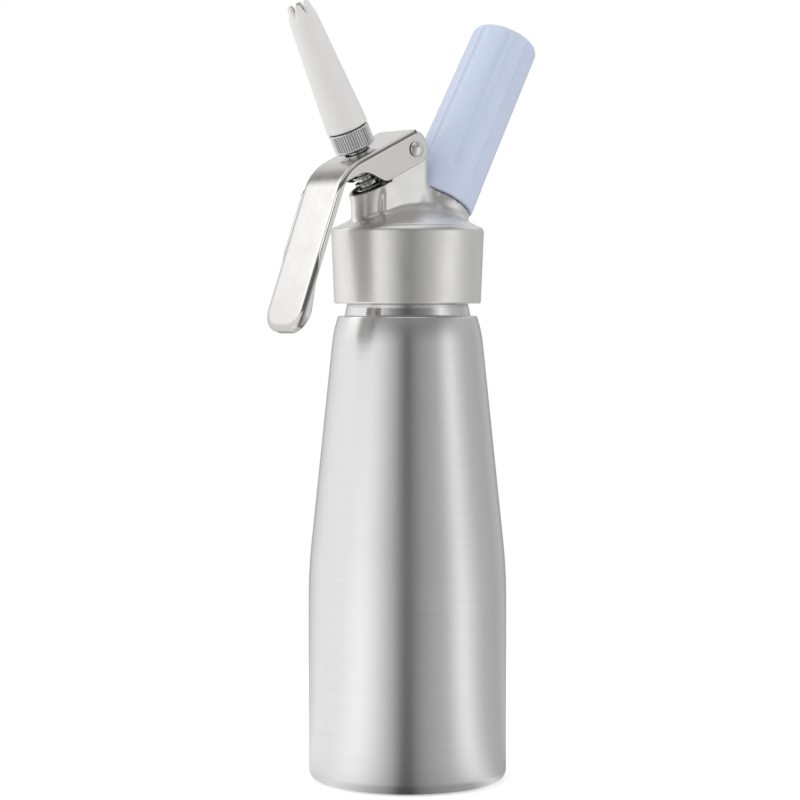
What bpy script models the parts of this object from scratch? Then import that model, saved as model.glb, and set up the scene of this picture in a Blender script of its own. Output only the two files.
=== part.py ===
"""Whipped cream dispenser: a drawn bottle, a head screwed on its neck, a squeeze lever that pushes a tilted
valve stem, a decorating tip and a holder for the gas cartridge.

Metres, +Z up. The origin is the middle of the bottle's flat base. The lever and the tip lean towards -X,
the charger holder towards +X, and Y = 0 is the plane of symmetry.
"""

from math import ceil, cos, pi, radians, sin, sqrt, tan

import bmesh
import bpy
from mathutils import Matrix, Vector

MM = 0.001

# General
CLEARANCE = 0.3 * MM
OVERRUN = 3.0 * MM
MERGE_DISTANCE = 0.005 * MM
ROUND_STEPS = 40
SMALL_STEPS = 20
PIN_STEPS = 16
RING_STEPS = 6
FILLET_STEP = radians(24)
FEWEST_STEPS = 3
SHARP_ANGLE = radians(32)

# Bottle
BOTTLE_RADIUS = 40.0 * MM
BOTTLE_BASE_FILLET = 4.5 * MM
BOTTLE_WALL = 1.6 * MM
WAIST_HEIGHT = 85.0 * MM
WAIST_FILLET = 190.0 * MM
SHOULDER_RADIUS = 30.0 * MM
SHOULDER_DROP = 6.7 * MM
SHOULDER_FILLET = 45.0 * MM
SHOULDER_TOP_RADIUS = 28.0 * MM
SHOULDER_TOP_HEIGHT = 187.7 * MM
SHOULDER_EDGE_FILLET = 1.2 * MM
NECK_RADIUS = 24.4 * MM
NECK_FOOT_RADIUS = 25.4 * MM
NECK_BAND = 4.9 * MM
NECK_ENGAGEMENT = 15.4 * MM
NECK_WALL = 2.0 * MM
NECK_CHAMFER = 0.4 * MM
NECK_LEAD_CHAMFER = 0.8 * MM

# Gasket
GASKET_THICKNESS = 1.4 * MM
GASKET_LIP = 0.8 * MM

# Head, a turned skirt and dome
THREAD_GAP = 0.5 * MM
HEAD_FOOT_RADIUS = 29.6 * MM
HEAD_FOOT_CHAMFER = 0.5 * MM
HEAD_RADIUS = 30.9 * MM
HEAD_EDGE_FILLET = 2.6 * MM
HEAD_RIM_RADIUS = 28.3 * MM
HEAD_CROWN = 13.6 * MM
DOME_RADIUS = 55.0 * MM
DOME_RINGS = 6
HEAD_MOUTH_CHAMFER = 0.8 * MM

# Valve axis, which leans from the bottle's axis towards the lever
VALVE_TILT = radians(27)
VALVE_CROSS_DROP = 6.5 * MM
SEAT_DISTANCE = 12.0 * MM
SEAT_CLEARANCE = 0.4 * MM
CUP_FLOOR_DISTANCE = 30.8 * MM
CUP_MOUTH_DISTANCE = 40.5 * MM
CUP_MOUTH_RADIUS = 9.5 * MM
CUP_BORE_RADIUS = 7.9 * MM

# Column under the cup and block under the lever, one casting
COLUMN_REACH = 19.5 * MM
COLUMN_WAIST_RADIUS = 6.9 * MM
COLUMN_FOOT_FILLET = 1.9 * MM
BLOCK_REACH = 7.6 * MM
BLOCK_CORNER_RADIUS = 3.0 * MM
BLOCK_BEHIND_PIVOT = 8.4 * MM
BLOCK_FOOT_FILLET = 5.5 * MM
BLOCK_ROOF = 5.4 * MM
BLOCK_REAR_RISE = 1.4 * MM
BLOCK_REAR_SLOPE = radians(40)
PORT_FILLET = 4.5 * MM
WAIST_RISE = 6.0 * MM
BLOCK_FOOT_RISE = 5.0 * MM
WEB_DEPTH = 4.0 * MM
WEB_FINE_STEP = 1.4 * MM
WEB_COARSE_STEP = 4.0 * MM
WEB_POINTS = 44

# Lever, a pressed channel bent to a handle, hung on the rivet
PIVOT_OFFSET = 5.1 * MM
PIVOT_RISE = 43.9 * MM
LEVER_WIDTH = 25.4 * MM
LEVER_SHEET = 1.5 * MM
LEVER_SLOPE = radians(25.6)
LEVER_TOP = 7.4 * MM
LEVER_REAR = 2.8 * MM
LEVER_BEND_REACH = 34.9 * MM
LEVER_BEND = radians(44.2)
LEVER_BEND_RADIUS = 19.0 * MM
HANDLE_LENGTH = 67.3 * MM
HANDLE_CORNER_RADIUS = 9.0 * MM
FLANGE_DEPTH = 4.2 * MM
FLANGE_BEND_RADIUS = 10.0 * MM
EDGE_ROUND = 1.2 * MM
EDGE_STEPS = 3
FLAT_ANGLE = radians(1)
FACING_UP_SHARE = 0.6
SQUARE_SHARE = 0.3
CHEEK_RADIUS = 5.8 * MM
CHEEK_REACH = 18.9 * MM
CHEEK_SHOULDER = 3.7 * MM
CHEEK_CORNER_FILLET = 2.5 * MM
SCALLOP_REACH = 26.2 * MM
SCALLOP_RISE = 2.2 * MM
SCALLOP_FILLET = 8.0 * MM
LEVER_HOLE_CLEARANCE = 1.3 * MM
SQUEEZE = radians(9)

# Rivet
PIN_RADIUS = 2.0 * MM
PIN_HEAD_RADIUS = 3.25 * MM
PIN_HEAD_HEIGHT = 1.6 * MM
PIN_HEAD_RINGS = 5

# Valve stem and what rides on it
STEM_RADIUS = 4.0 * MM
STEM_BORE_RADIUS = 2.2 * MM
STEM_FLANGE_RADIUS = 5.8 * MM
STEM_FLANGE_HEIGHT = 2.4 * MM
STEM_NOSE_RADIUS = 3.2 * MM
STEM_NOSE_HEIGHT = 2.6 * MM
STEM_TOP_ENTRY = 5.2 * MM
STEM_PORT_RADIUS = 1.1 * MM
STEM_PORT_RISE = 1.5 * MM
STEM_CHAMFER = 0.4 * MM
GROOVE_DEPTH = 1.05 * MM
GROOVE_HEIGHT = 1.5 * MM
LOWER_GROOVE_RISE = 6.5 * MM
UPPER_GROOVE_RISE = 14.5 * MM
ORING_THICKNESS = 0.8 * MM
SEAL_RADIUS = 6.3 * MM
SEAL_HEIGHT = 2.4 * MM
SPRING_SEAT_THICKNESS = 0.9 * MM
SPRING_WIRE_RADIUS = 0.5 * MM
SPRING_RADIUS = 5.3 * MM
SPRING_TURNS = 6
SPRING_TURN_POINTS = 10
COLLAR_RADIUS = 6.2 * MM
COLLAR_HEIGHT = 4.4 * MM
COLLAR_DOME_RADIUS = 16.0 * MM
COLLAR_RINGS = 4
COLLAR_GAP = 0.3 * MM

# Nozzle adapter and decorating tip
ADAPTER_GAP = 1.7 * MM
ADAPTER_RADIUS = 8.2 * MM
ADAPTER_HEIGHT = 8.5 * MM
ADAPTER_CHAMFER = 0.9 * MM
KNURL_DEPTH = 0.22 * MM
KNURL_TEETH = 36
SPIGOT_RADIUS = 6.3 * MM
SPIGOT_HEIGHT = 7.7 * MM
SPIGOT_BORE_RADIUS = 3.4 * MM
STEM_SEAL_THICKNESS = 1.2 * MM
STEM_SEAL_BORE_RADIUS = 2.4 * MM
TIP_GAP = 0.5 * MM
TIP_LENGTH = 52.6 * MM
TIP_FOOT_RADIUS = 8.5 * MM
TIP_END_RADIUS = 5.8 * MM
TIP_MOUTH_RADIUS = 4.5 * MM
TIP_CURL = 6.0 * MM
TIP_FOOT_FILLET = 0.8 * MM
TIP_WALL = 1.2 * MM
TIP_CURL_FILLET = 9.0 * MM
TIP_SHOULDER_RADIUS = 5.2 * MM
TIP_STEPS = 32
TIP_NOTCHES = 6
TIP_NOTCH_TURN = radians(20)
TIP_NOTCH_DEPTH = 4.0 * MM
TIP_NOTCH_WIDTH = 2.6 * MM
TIP_SEAL_THICKNESS = 0.8 * MM

# Charger axis, which leans from the bottle's axis towards +X
CHARGER_TILT = radians(28.2)
CHARGER_CROSS_DROP = 4.0 * MM
RIM_DISTANCE = 31.74 * MM
PORT_RADIUS = 14.3 * MM
PORT_GAP = 0.5 * MM
PORT_DEPTH = 18.0 * MM
STUB_RADIUS = 10.2 * MM
STUB_HEIGHT = 16.0 * MM
STUB_CHAMFER = 1.0 * MM
PORT_BORE_RADIUS = 4.9 * MM
GAS_HOLE_RADIUS = 1.5 * MM
GAS_HOLE_REACH = 11.5 * MM

# Charger holder, its liner and the cartridge
HOLDER_RADIUS = 15.0 * MM
HOLDER_END_RADIUS = 13.8 * MM
HOLDER_END_FILLET = 4.0 * MM
HOLDER_RIM_FILLET = 0.8 * MM
HOLDER_CAP = 2.5 * MM
FLUTES = 8
FLUTE_WIDTH = 3.7 * MM
FLUTE_DEPTH = 0.8 * MM
FLUTE_START = 11.5 * MM
FLUTE_STEPS = 12
FLUTE_TURN = radians(11.5)
LINER_RECESS = 0.8 * MM
LINER_WALL = 1.0 * MM
LINER_STEP_GAP = 0.8 * MM
CARTRIDGE_RADIUS = 8.95 * MM
CARTRIDGE_LENGTH = 65.5 * MM
CARTRIDGE_NECK_RADIUS = 4.4 * MM
CARTRIDGE_NECK_LENGTH = 8.5 * MM
CARTRIDGE_SHOULDER = 7.0 * MM
CARTRIDGE_SHOULDER_FILLET = 5.0 * MM
CARTRIDGE_NECK_FILLET = 1.0 * MM

# What sits in the port's bore, from its floor up
CHECK_VALVE_THICKNESS = 0.9 * MM
PIN_BASE_THICKNESS = 2.0 * MM
PIERCER_RADIUS = 1.1 * MM
PIERCER_TIP_LENGTH = 1.6 * MM
PIERCER_TIP_RADIUS = 0.3 * MM
RETAINER_THICKNESS = 2.2 * MM
CHARGER_SEAL_THICKNESS = 1.8 * MM
RING_HOLE_CLEARANCE = 0.5 * MM

# Heights and distances that follow
SHOULDER_HEIGHT = SHOULDER_TOP_HEIGHT - SHOULDER_DROP
HEAD_FOOT = SHOULDER_TOP_HEIGHT + NECK_BAND
NECK_TOP = HEAD_FOOT + NECK_ENGAGEMENT
CEILING = NECK_TOP + GASKET_THICKNESS + 2 * CLEARANCE
HEAD_RIM = CEILING + HEAD_CROWN
DOME_CENTRE = HEAD_RIM - sqrt(DOME_RADIUS ** 2 - HEAD_RIM_RADIUS ** 2)
PIVOT_X = -PIVOT_OFFSET
PIVOT_Z = CEILING + PIVOT_RISE
VALVE_CROSS = CEILING - VALVE_CROSS_DROP
CHARGER_CROSS = CEILING - CHARGER_CROSS_DROP
BLOCK_HALF_WIDTH = LEVER_WIDTH / 2 - LEVER_SHEET - CLEARANCE
GUIDE_RADIUS = STEM_RADIUS + CLEARANCE
CARTRIDGE_FOOT = STUB_HEIGHT + CLEARANCE - CARTRIDGE_NECK_LENGTH
CARTRIDGE_TOP = CARTRIDGE_FOOT + CARTRIDGE_LENGTH
PORT_STACK = CHECK_VALVE_THICKNESS + PIN_BASE_THICKNESS + RETAINER_THICKNESS + CHARGER_SEAL_THICKNESS
PORT_FLOOR = CARTRIDGE_FOOT - PORT_STACK - 5 * CLEARANCE
LINER_STEP = STUB_HEIGHT + LINER_STEP_GAP
LINER_TOP = CARTRIDGE_TOP + CLEARANCE + LINER_WALL
HOLDER_LENGTH = LINER_TOP + CLEARANCE + HOLDER_CAP

STEEL = ((0.62, 0.62, 0.63), 0.32, 1.0)
SATIN = ((0.66, 0.66, 0.67), 0.38, 1.0)
POLISHED = ((0.72, 0.71, 0.70), 0.12, 1.0)
RUBBER = ((0.10, 0.10, 0.11), 0.75, 0.0)
SILICONE = ((0.75, 0.74, 0.70), 0.60, 0.0)
WHITE_PLASTIC = ((0.86, 0.85, 0.83), 0.45, 0.0)
BLUE_PLASTIC = ((0.56, 0.64, 0.83), 0.30, 0.0)
ZINC = ((0.58, 0.59, 0.60), 0.30, 1.0)


def clear_scene():
    for obj in list(bpy.data.objects):
        bpy.data.objects.remove(obj, do_unlink=True)


def axis_empty(name, location, tilt):
    """An empty whose Z is a tilted axis in the plane of symmetry."""
    empty = bpy.data.objects.new(name, None)
    empty.location = location
    empty.rotation_euler = (0, tilt, 0)
    bpy.context.scene.collection.objects.link(empty)
    return empty


def new_object(name, bm):
    """An object from a bmesh, with every face turned outwards."""
    bmesh.ops.recalc_face_normals(bm, faces=bm.faces)
    mesh = bpy.data.meshes.new(name)
    bm.to_mesh(mesh)
    bm.free()
    obj = bpy.data.objects.new(name, mesh)
    bpy.context.scene.collection.objects.link(obj)
    return obj


def rounded(corners):
    """A closed outline of (x, y, fillet radius) corners, with each fillet turned into an arc."""
    outline = []
    for i, (x, y, radius) in enumerate(corners):
        here = Vector((x, y))
        if radius == 0:
            outline.append((x, y))
            continue
        back = (Vector(corners[i - 1][:2]) - here).normalized()
        ahead = (Vector(corners[(i + 1) % len(corners)][:2]) - here).normalized()
        half = back.angle(ahead) / 2
        centre = here + (back + ahead).normalized() * (radius / sin(half))
        spoke = here + back * (radius / tan(half)) - centre
        turn = pi - 2 * half
        if back.x * ahead.y - back.y * ahead.x > 0:
            turn = -turn
        steps = max(FEWEST_STEPS, ceil(abs(turn) / FILLET_STEP))
        for k in range(steps + 1):
            point = centre + Matrix.Rotation(turn * k / steps, 2) @ spoke
            outline.append((point.x, point.y))
    return outline


def turned(name, outline, steps=ROUND_STEPS, radius_change=None):
    """A body turned about Z from a closed outline of (radius, height) points.

    radius_change(step, height) is added to the radius, for knurls.
    """
    bm = bmesh.new()
    rings = []
    for radius, height in outline:
        if radius == 0:
            rings.append([bm.verts.new((0, 0, height))] * steps)
            continue
        ring = []
        for k in range(steps):
            extra = radius_change(k, radius, height) if radius_change else 0
            angle = 2 * pi * k / steps
            ring.append(bm.verts.new(((radius + extra) * cos(angle), (radius + extra) * sin(angle), height)))
        rings.append(ring)
    for ring, following in zip(rings, rings[1:] + rings[:1]):
        for k in range(steps):
            after = (k + 1) % steps
            corners = dict.fromkeys((ring[k], ring[after], following[after], following[k]))
            if len(corners) > 2:
                bm.faces.new(corners)
    return new_object(name, bm)


def cylinder(name, radius, low, high, steps=SMALL_STEPS):
    return turned(name, [(0, low), (radius, low), (radius, high), (0, high)], steps)


def washer(name, inner, outer, low, high, steps=SMALL_STEPS):
    return turned(name, [(inner, low), (outer, low), (outer, high), (inner, high)], steps)


def ring_of(name, radius, thickness, height, steps=SMALL_STEPS):
    """A round-section ring about Z."""
    outline = []
    for k in range(RING_STEPS):
        angle = 2 * pi * k / RING_STEPS
        outline.append((radius + thickness / 2 * cos(angle), height + thickness / 2 * sin(angle)))
    return turned(name, outline, steps)


def extruded(name, outline, low, high):
    """An outline in X and Z, carried along Y from low to high."""
    bm = bmesh.new()
    face = bm.faces.new([bm.verts.new((x, low, z)) for x, z in outline])
    grown = bmesh.ops.extrude_face_region(bm, geom=[face])
    moved = [v for v in grown["geom"] if isinstance(v, bmesh.types.BMVert)]
    bmesh.ops.translate(bm, vec=(0, high - low, 0), verts=moved)
    return new_object(name, bm)


def lofted(name, sections):
    """Closed sections of equal point counts, skinned one to the next, with flat ends."""
    bm = bmesh.new()
    rings = [[bm.verts.new(point) for point in section] for section in sections]
    for ring, following in zip(rings, rings[1:]):
        for k in range(len(ring)):
            after = (k + 1) % len(ring)
            bm.faces.new((ring[k], ring[after], following[after], following[k]))
    bm.faces.new(rings[0])
    bm.faces.new(rings[-1])
    return new_object(name, bm)


def apply_place(obj):
    """Moves an object's place into its mesh, so that it can be cut in world space."""
    bpy.context.view_layer.update()
    obj.data.transform(obj.matrix_world)
    obj.parent = None
    obj.matrix_world = Matrix.Identity(4)


def combine(body, tool, operation):
    """Cuts or joins body with tool, both at their places, and keeps only body."""
    modifier = body.modifiers.new(operation.lower(), "BOOLEAN")
    modifier.object = tool
    modifier.operation = operation
    modifier.solver = "EXACT"
    bpy.context.view_layer.update()
    graph = bpy.context.evaluated_depsgraph_get()
    result = bpy.data.meshes.new_from_object(body.evaluated_get(graph))
    bm = bmesh.new()
    bm.from_mesh(result)
    bmesh.ops.remove_doubles(bm, verts=bm.verts, dist=MERGE_DISTANCE)
    bm.to_mesh(result)
    bm.free()
    body.modifiers.remove(modifier)
    body.data = result
    bpy.data.objects.remove(tool, do_unlink=True)


def cut(body, tool):
    combine(body, tool, "DIFFERENCE")


def join(body, tool):
    combine(body, tool, "UNION")


def on_axis(obj, axis):
    obj.parent = axis
    return obj


def new_material(name, look):
    colour, roughness, metallic = look
    material = bpy.data.materials.new(name)
    material.use_nodes = True
    shader = material.node_tree.nodes["Principled BSDF"]
    shader.inputs["Base Color"].default_value = (*colour, 1)
    shader.inputs["Roughness"].default_value = roughness
    shader.inputs["Metallic"].default_value = metallic
    return material


def finish(obj, look):
    """Gives a piece its own material and smooth shading with sharp edges kept."""
    obj.data.materials.clear()
    obj.data.materials.append(new_material(obj.name, look))
    obj.data.shade_smooth()
    obj.data.set_sharp_from_angle(angle=SHARP_ANGLE)


def valve_distance(offset, turn=0):
    """How far up the valve's axis a plane parallel to the lever's plate lies, offset from the pivot."""
    slope = LEVER_SLOPE + turn
    rise = PIVOT_Z - VALVE_CROSS
    to_pivot = PIVOT_X * sin(slope) - rise * cos(slope)
    return (offset - to_pivot) / cos(slope - VALVE_TILT)


PLATE_TOP = valve_distance(LEVER_TOP)
PLATE_UNDER = valve_distance(LEVER_TOP - LEVER_SHEET)
COLLAR_TOP = PLATE_UNDER - COLLAR_GAP
COLLAR_FOOT = COLLAR_TOP - COLLAR_HEIGHT
ADAPTER_FOOT = PLATE_TOP + ADAPTER_GAP
ADAPTER_TOP = ADAPTER_FOOT + ADAPTER_HEIGHT
STEM_TOP = ADAPTER_FOOT + STEM_TOP_ENTRY
STEM_SHOULDER = STEM_TOP + STEM_SEAL_THICKNESS + 2 * CLEARANCE
SPIGOT_TOP = ADAPTER_TOP + SPIGOT_HEIGHT
TIP_FOOT = ADAPTER_TOP + TIP_GAP
TIP_SHOULDER = SPIGOT_TOP + TIP_SEAL_THICKNESS + 2 * CLEARANCE
TIP_TOP = TIP_FOOT + TIP_LENGTH
SEAL_TOP = SEAT_DISTANCE - CLEARANCE
FLANGE_TOP = SEAL_TOP - SEAL_HEIGHT - CLEARANCE


def build_bottle():
    """Turned in one piece: flat base, straight wall, long taper, shoulder and neck."""
    inner_shoulder = SHOULDER_TOP_HEIGHT - BOTTLE_WALL
    neck_bore = NECK_RADIUS - NECK_WALL
    inner_fillet = BOTTLE_BASE_FILLET - BOTTLE_WALL
    outline = rounded([
        (0, 0, 0),
        (BOTTLE_RADIUS, 0, BOTTLE_BASE_FILLET),
        (BOTTLE_RADIUS, WAIST_HEIGHT, WAIST_FILLET),
        (SHOULDER_RADIUS, SHOULDER_HEIGHT, SHOULDER_FILLET),
        (SHOULDER_TOP_RADIUS, SHOULDER_TOP_HEIGHT, SHOULDER_EDGE_FILLET),
        (NECK_FOOT_RADIUS, SHOULDER_TOP_HEIGHT, 0),
        (NECK_RADIUS, HEAD_FOOT, 0),
        (NECK_RADIUS, NECK_TOP - NECK_LEAD_CHAMFER, 0),
        (NECK_RADIUS - NECK_LEAD_CHAMFER, NECK_TOP, 0),
        (neck_bore + NECK_CHAMFER, NECK_TOP, 0),
        (neck_bore, NECK_TOP - NECK_CHAMFER, 0),
        (neck_bore, inner_shoulder, 0),
        (SHOULDER_TOP_RADIUS - BOTTLE_WALL, inner_shoulder, 0),
        (SHOULDER_RADIUS - BOTTLE_WALL, SHOULDER_HEIGHT, 0),
        (BOTTLE_RADIUS - BOTTLE_WALL, WAIST_HEIGHT, WAIST_FILLET),
        (BOTTLE_RADIUS - BOTTLE_WALL, BOTTLE_WALL, inner_fillet),
        (0, BOTTLE_WALL, 0),
    ])
    finish(turned("bottle", outline), STEEL)


def build_gasket():
    """A flat ring on the neck's rim, with a lip that hangs inside it."""
    low = NECK_TOP + CLEARANCE
    inner = NECK_RADIUS - NECK_WALL - GASKET_LIP
    gasket = washer("head_gasket", inner, NECK_RADIUS, low, low + GASKET_THICKNESS, ROUND_STEPS)
    finish(gasket, SILICONE)


def head_shell():
    """Skirt and dome in one turned outline, hollow up to the ceiling."""
    bore = NECK_RADIUS + THREAD_GAP
    outline = rounded([
        (0, CEILING, 0),
        (bore, CEILING, 0),
        (bore, HEAD_FOOT + HEAD_MOUTH_CHAMFER, 0),
        (bore + HEAD_MOUTH_CHAMFER, HEAD_FOOT, 0),
        (HEAD_FOOT_RADIUS - HEAD_FOOT_CHAMFER, HEAD_FOOT, 0),
        (HEAD_FOOT_RADIUS, HEAD_FOOT + HEAD_FOOT_CHAMFER, 0),
        (HEAD_RADIUS, HEAD_RIM, HEAD_EDGE_FILLET),
        (HEAD_RIM_RADIUS, HEAD_RIM, 0),
    ])
    for k in range(1, DOME_RINGS):
        radius = HEAD_RIM_RADIUS * (1 - k / DOME_RINGS)
        outline.append((radius, DOME_CENTRE + sqrt(DOME_RADIUS ** 2 - radius ** 2)))
    outline.append((0, DOME_CENTRE + DOME_RADIUS))
    return turned("head", outline)


def flare(distance, radius):
    """How far a concave fillet stands out, distance above its foot."""
    if distance >= radius:
        return 0
    reach = radius - max(distance, 0)
    return radius - sqrt(radius ** 2 - reach ** 2)


def hull_of_discs(discs, height):
    """The convex outline round a few discs of (x, y, radius), as a level section."""
    section = []
    for k in range(WEB_POINTS):
        angle = 2 * pi * k / WEB_POINTS
        x, y, radius = max(discs, key=lambda d: d[0] * cos(angle) + d[1] * sin(angle) + d[2])
        section.append((x + radius * cos(angle), y + radius * sin(angle), height))
    return section


def head_web():
    """The cast column and block: level sections round the column's disc and the block's corners."""
    mouth_height = VALVE_CROSS + CUP_MOUTH_DISTANCE * cos(VALVE_TILT)
    waist_height = HEAD_RIM + WAIST_RISE
    top = PIVOT_Z + LEVER_TOP
    rear = PIVOT_X + BLOCK_BEHIND_PIVOT
    rim_level = charger_plane(RIM_DISTANCE, rear)
    fine_top = rim_level + PORT_FILLET
    height = HEAD_RIM - WEB_DEPTH
    sections = []
    while height < top:
        rise = height - HEAD_RIM
        swell_share = max(0, min(1, (height - waist_height) / (mouth_height - waist_height)))
        column = COLUMN_WAIST_RADIUS + flare(rise, COLUMN_FOOT_FILLET)
        column += (CUP_MOUTH_RADIUS - COLUMN_WAIST_RADIUS) * swell_share ** 2
        spread = flare(rise - BLOCK_FOOT_RISE, BLOCK_FOOT_FILLET)
        right = rear - BLOCK_CORNER_RADIUS + flare(height - rim_level, PORT_FILLET)
        side = BLOCK_HALF_WIDTH - BLOCK_CORNER_RADIUS
        discs = [(-COLUMN_REACH, 0, column)]
        for x in (-BLOCK_REACH, right):
            for y in (-side, side):
                discs.append((x, y, BLOCK_CORNER_RADIUS + spread))
        sections.append(hull_of_discs(discs, height))
        height += WEB_FINE_STEP if height < fine_top else WEB_COARSE_STEP
    return lofted("web", sections)


def block_roof_cutter():
    """Everything above the block: clear of the lever's plate at rest and squeezed, and sloped behind it."""
    far = LEVER_BEND_REACH + HANDLE_LENGTH
    pivot = Vector((PIVOT_X, PIVOT_Z))
    lines = []
    for turn in (0, SQUEEZE):
        slope = LEVER_SLOPE + turn
        normal = Vector((-sin(slope), cos(slope)))
        along = Vector((-cos(slope), -sin(slope)))
        lines.append((pivot + normal * BLOCK_ROOF, along))
    left = lines[1][0] + lines[1][1] * far
    crest = (lines[0][0] + lines[1][0]) / 2
    crest = pivot + (crest - pivot).normalized() * BLOCK_ROOF
    rear = pivot + Vector((BLOCK_BEHIND_PIVOT, BLOCK_REAR_RISE))
    fall = Vector((cos(BLOCK_REAR_SLOPE), -sin(BLOCK_REAR_SLOPE)))
    start, along = lines[0]
    ridge = start + along * ((rear - start).cross(fall) / along.cross(fall))
    right = rear + fall * far
    top = pivot.y + far
    outline = [tuple(left), tuple(crest), tuple(ridge), tuple(right), (right.x, top), (left.x, top)]
    return extruded("roof", outline, -LEVER_WIDTH, LEVER_WIDTH)


def cup_mouth_cutter():
    """Everything above the cup's tilted mouth, as far back as the block's front face."""
    outer = -COLUMN_REACH - CUP_MOUTH_RADIUS - OVERRUN
    face = -BLOCK_REACH - BLOCK_CORNER_RADIUS
    crossing = VALVE_CROSS + CUP_MOUTH_DISTANCE / cos(VALVE_TILT)
    top = PIVOT_Z + LEVER_TOP + OVERRUN
    outline = [(x, crossing + x * tan(VALVE_TILT)) for x in (outer, face)] + [(face, top), (outer, top)]
    return extruded("mouth", outline, -LEVER_WIDTH, LEVER_WIDTH)


def placed(obj, axis):
    """A cutter or an added form, moved to its place on an axis."""
    on_axis(obj, axis)
    apply_place(obj)
    return obj


def build_head(valve_axis, charger_axis):
    """Shell, web, port and threaded stub joined, then every bore cut."""
    head = head_shell()
    join(head, head_web())
    join(head, placed(cylinder("port", PORT_RADIUS, -PORT_DEPTH, OVERRUN, ROUND_STEPS), charger_axis))
    cut(head, block_roof_cutter())
    cut(head, cup_mouth_cutter())
    sweep = cylinder("sweep", HOLDER_RADIUS + PORT_GAP, -PORT_GAP, HOLDER_LENGTH, ROUND_STEPS)
    cut(head, placed(sweep, charger_axis))
    stub = [
        (0, -PORT_GAP - OVERRUN),
        (STUB_RADIUS, -PORT_GAP - OVERRUN),
        (STUB_RADIUS, STUB_HEIGHT - STUB_CHAMFER),
        (STUB_RADIUS - STUB_CHAMFER, STUB_HEIGHT),
        (0, STUB_HEIGHT),
    ]
    join(head, placed(turned("stub", stub), charger_axis))
    seat_bore = SEAL_RADIUS + SEAT_CLEARANCE
    bores = [
        (0, -VALVE_CROSS_DROP),
        (seat_bore, -VALVE_CROSS_DROP),
        (seat_bore, SEAT_DISTANCE),
        (GUIDE_RADIUS, SEAT_DISTANCE),
        (GUIDE_RADIUS, CUP_FLOOR_DISTANCE),
        (CUP_BORE_RADIUS, CUP_FLOOR_DISTANCE),
        (CUP_BORE_RADIUS, CUP_MOUTH_DISTANCE + OVERRUN),
        (0, CUP_MOUTH_DISTANCE + OVERRUN),
    ]
    cut(head, placed(turned("valve_bore", bores, SMALL_STEPS), valve_axis))
    bore = cylinder("port_bore", PORT_BORE_RADIUS, PORT_FLOOR, STUB_HEIGHT + OVERRUN)
    cut(head, placed(bore, charger_axis))
    gas_top = charger_plane(RIM_DISTANCE + PORT_FLOOR, GAS_HOLE_REACH - GAS_HOLE_RADIUS)
    gas = cylinder("gas_hole", GAS_HOLE_RADIUS, CEILING - OVERRUN, gas_top)
    gas.location = (GAS_HOLE_REACH, 0, 0)
    apply_place(gas)
    cut(head, gas)
    cut(head, cross_hole("pin_hole", PIN_RADIUS + CLEARANCE, BLOCK_HALF_WIDTH + OVERRUN))
    finish(head, SATIN)


def charger_plane(distance, x):
    """The height, at x, of the plane square to the charger's axis at a distance along it."""
    middle_x = distance * sin(CHARGER_TILT)
    middle_z = CHARGER_CROSS + distance * cos(CHARGER_TILT)
    return middle_z + (middle_x - x) * tan(CHARGER_TILT)


def cross_hole(name, radius, half_width):
    """A cylinder along Y through the lever's pivot."""
    hole = cylinder(name, radius, -half_width, half_width)
    hole.rotation_euler = (pi / 2, 0, 0)
    hole.location = (PIVOT_X, 0, PIVOT_Z)
    apply_place(hole)
    return hole


def lever_line():
    """The bend's corner, the handle's end, its direction and its inward normal.

    They lie in the lever's own plane: u runs along the plate from the pivot, v stands up from it.
    """
    corner = Vector((LEVER_BEND_REACH, LEVER_TOP))
    along = Vector((cos(LEVER_BEND), -sin(LEVER_BEND)))
    inward = Vector((-sin(LEVER_BEND), -cos(LEVER_BEND)))
    return corner, corner + along * HANDLE_LENGTH, along, inward


def lever_side():
    """Side outline: plate, bend and handle on top; flange, scallop and rounded cheek below."""
    corner, end, along, inward = lever_line()
    flange_end = end + inward * FLANGE_DEPTH
    flange_corner = flange_end - along * ((flange_end.y - SCALLOP_RISE) / along.y)
    rear_fillet = CHEEK_RADIUS - CLEARANCE
    return rounded([
        (corner.x, corner.y, LEVER_BEND_RADIUS),
        (*end, 0),
        (*flange_end, 0),
        (*flange_corner, FLANGE_BEND_RADIUS),
        (SCALLOP_REACH, SCALLOP_RISE, SCALLOP_FILLET),
        (CHEEK_REACH, -CHEEK_RADIUS, CHEEK_CORNER_FILLET),
        (-CHEEK_RADIUS, -CHEEK_RADIUS, rear_fillet),
        (-CHEEK_RADIUS, CHEEK_SHOULDER, rear_fillet),
        (-LEVER_REAR, LEVER_TOP, 0),
    ])


def lever_hollow_side():
    """Side outline of what is pressed out below the sheet, open behind the plate's rear edge."""
    corner, end, along, inward = lever_line()
    under = LEVER_TOP - LEVER_SHEET
    bend_x = corner.x - LEVER_SHEET * tan(LEVER_BEND / 2)
    tip = end - along * LEVER_SHEET
    foot = -CHEEK_RADIUS - OVERRUN
    above = LEVER_TOP + OVERRUN
    return rounded([
        (-LEVER_REAR, under, 0),
        (bend_x, under, LEVER_BEND_RADIUS - LEVER_SHEET),
        (*(tip + inward * LEVER_SHEET), 0),
        (*(tip + inward * (FLANGE_DEPTH + OVERRUN)), 0),
        (LEVER_BEND_REACH, foot, 0),
        (foot, foot, 0),
        (foot, above, 0),
        (-LEVER_REAR, above, 0),
    ])


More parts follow.
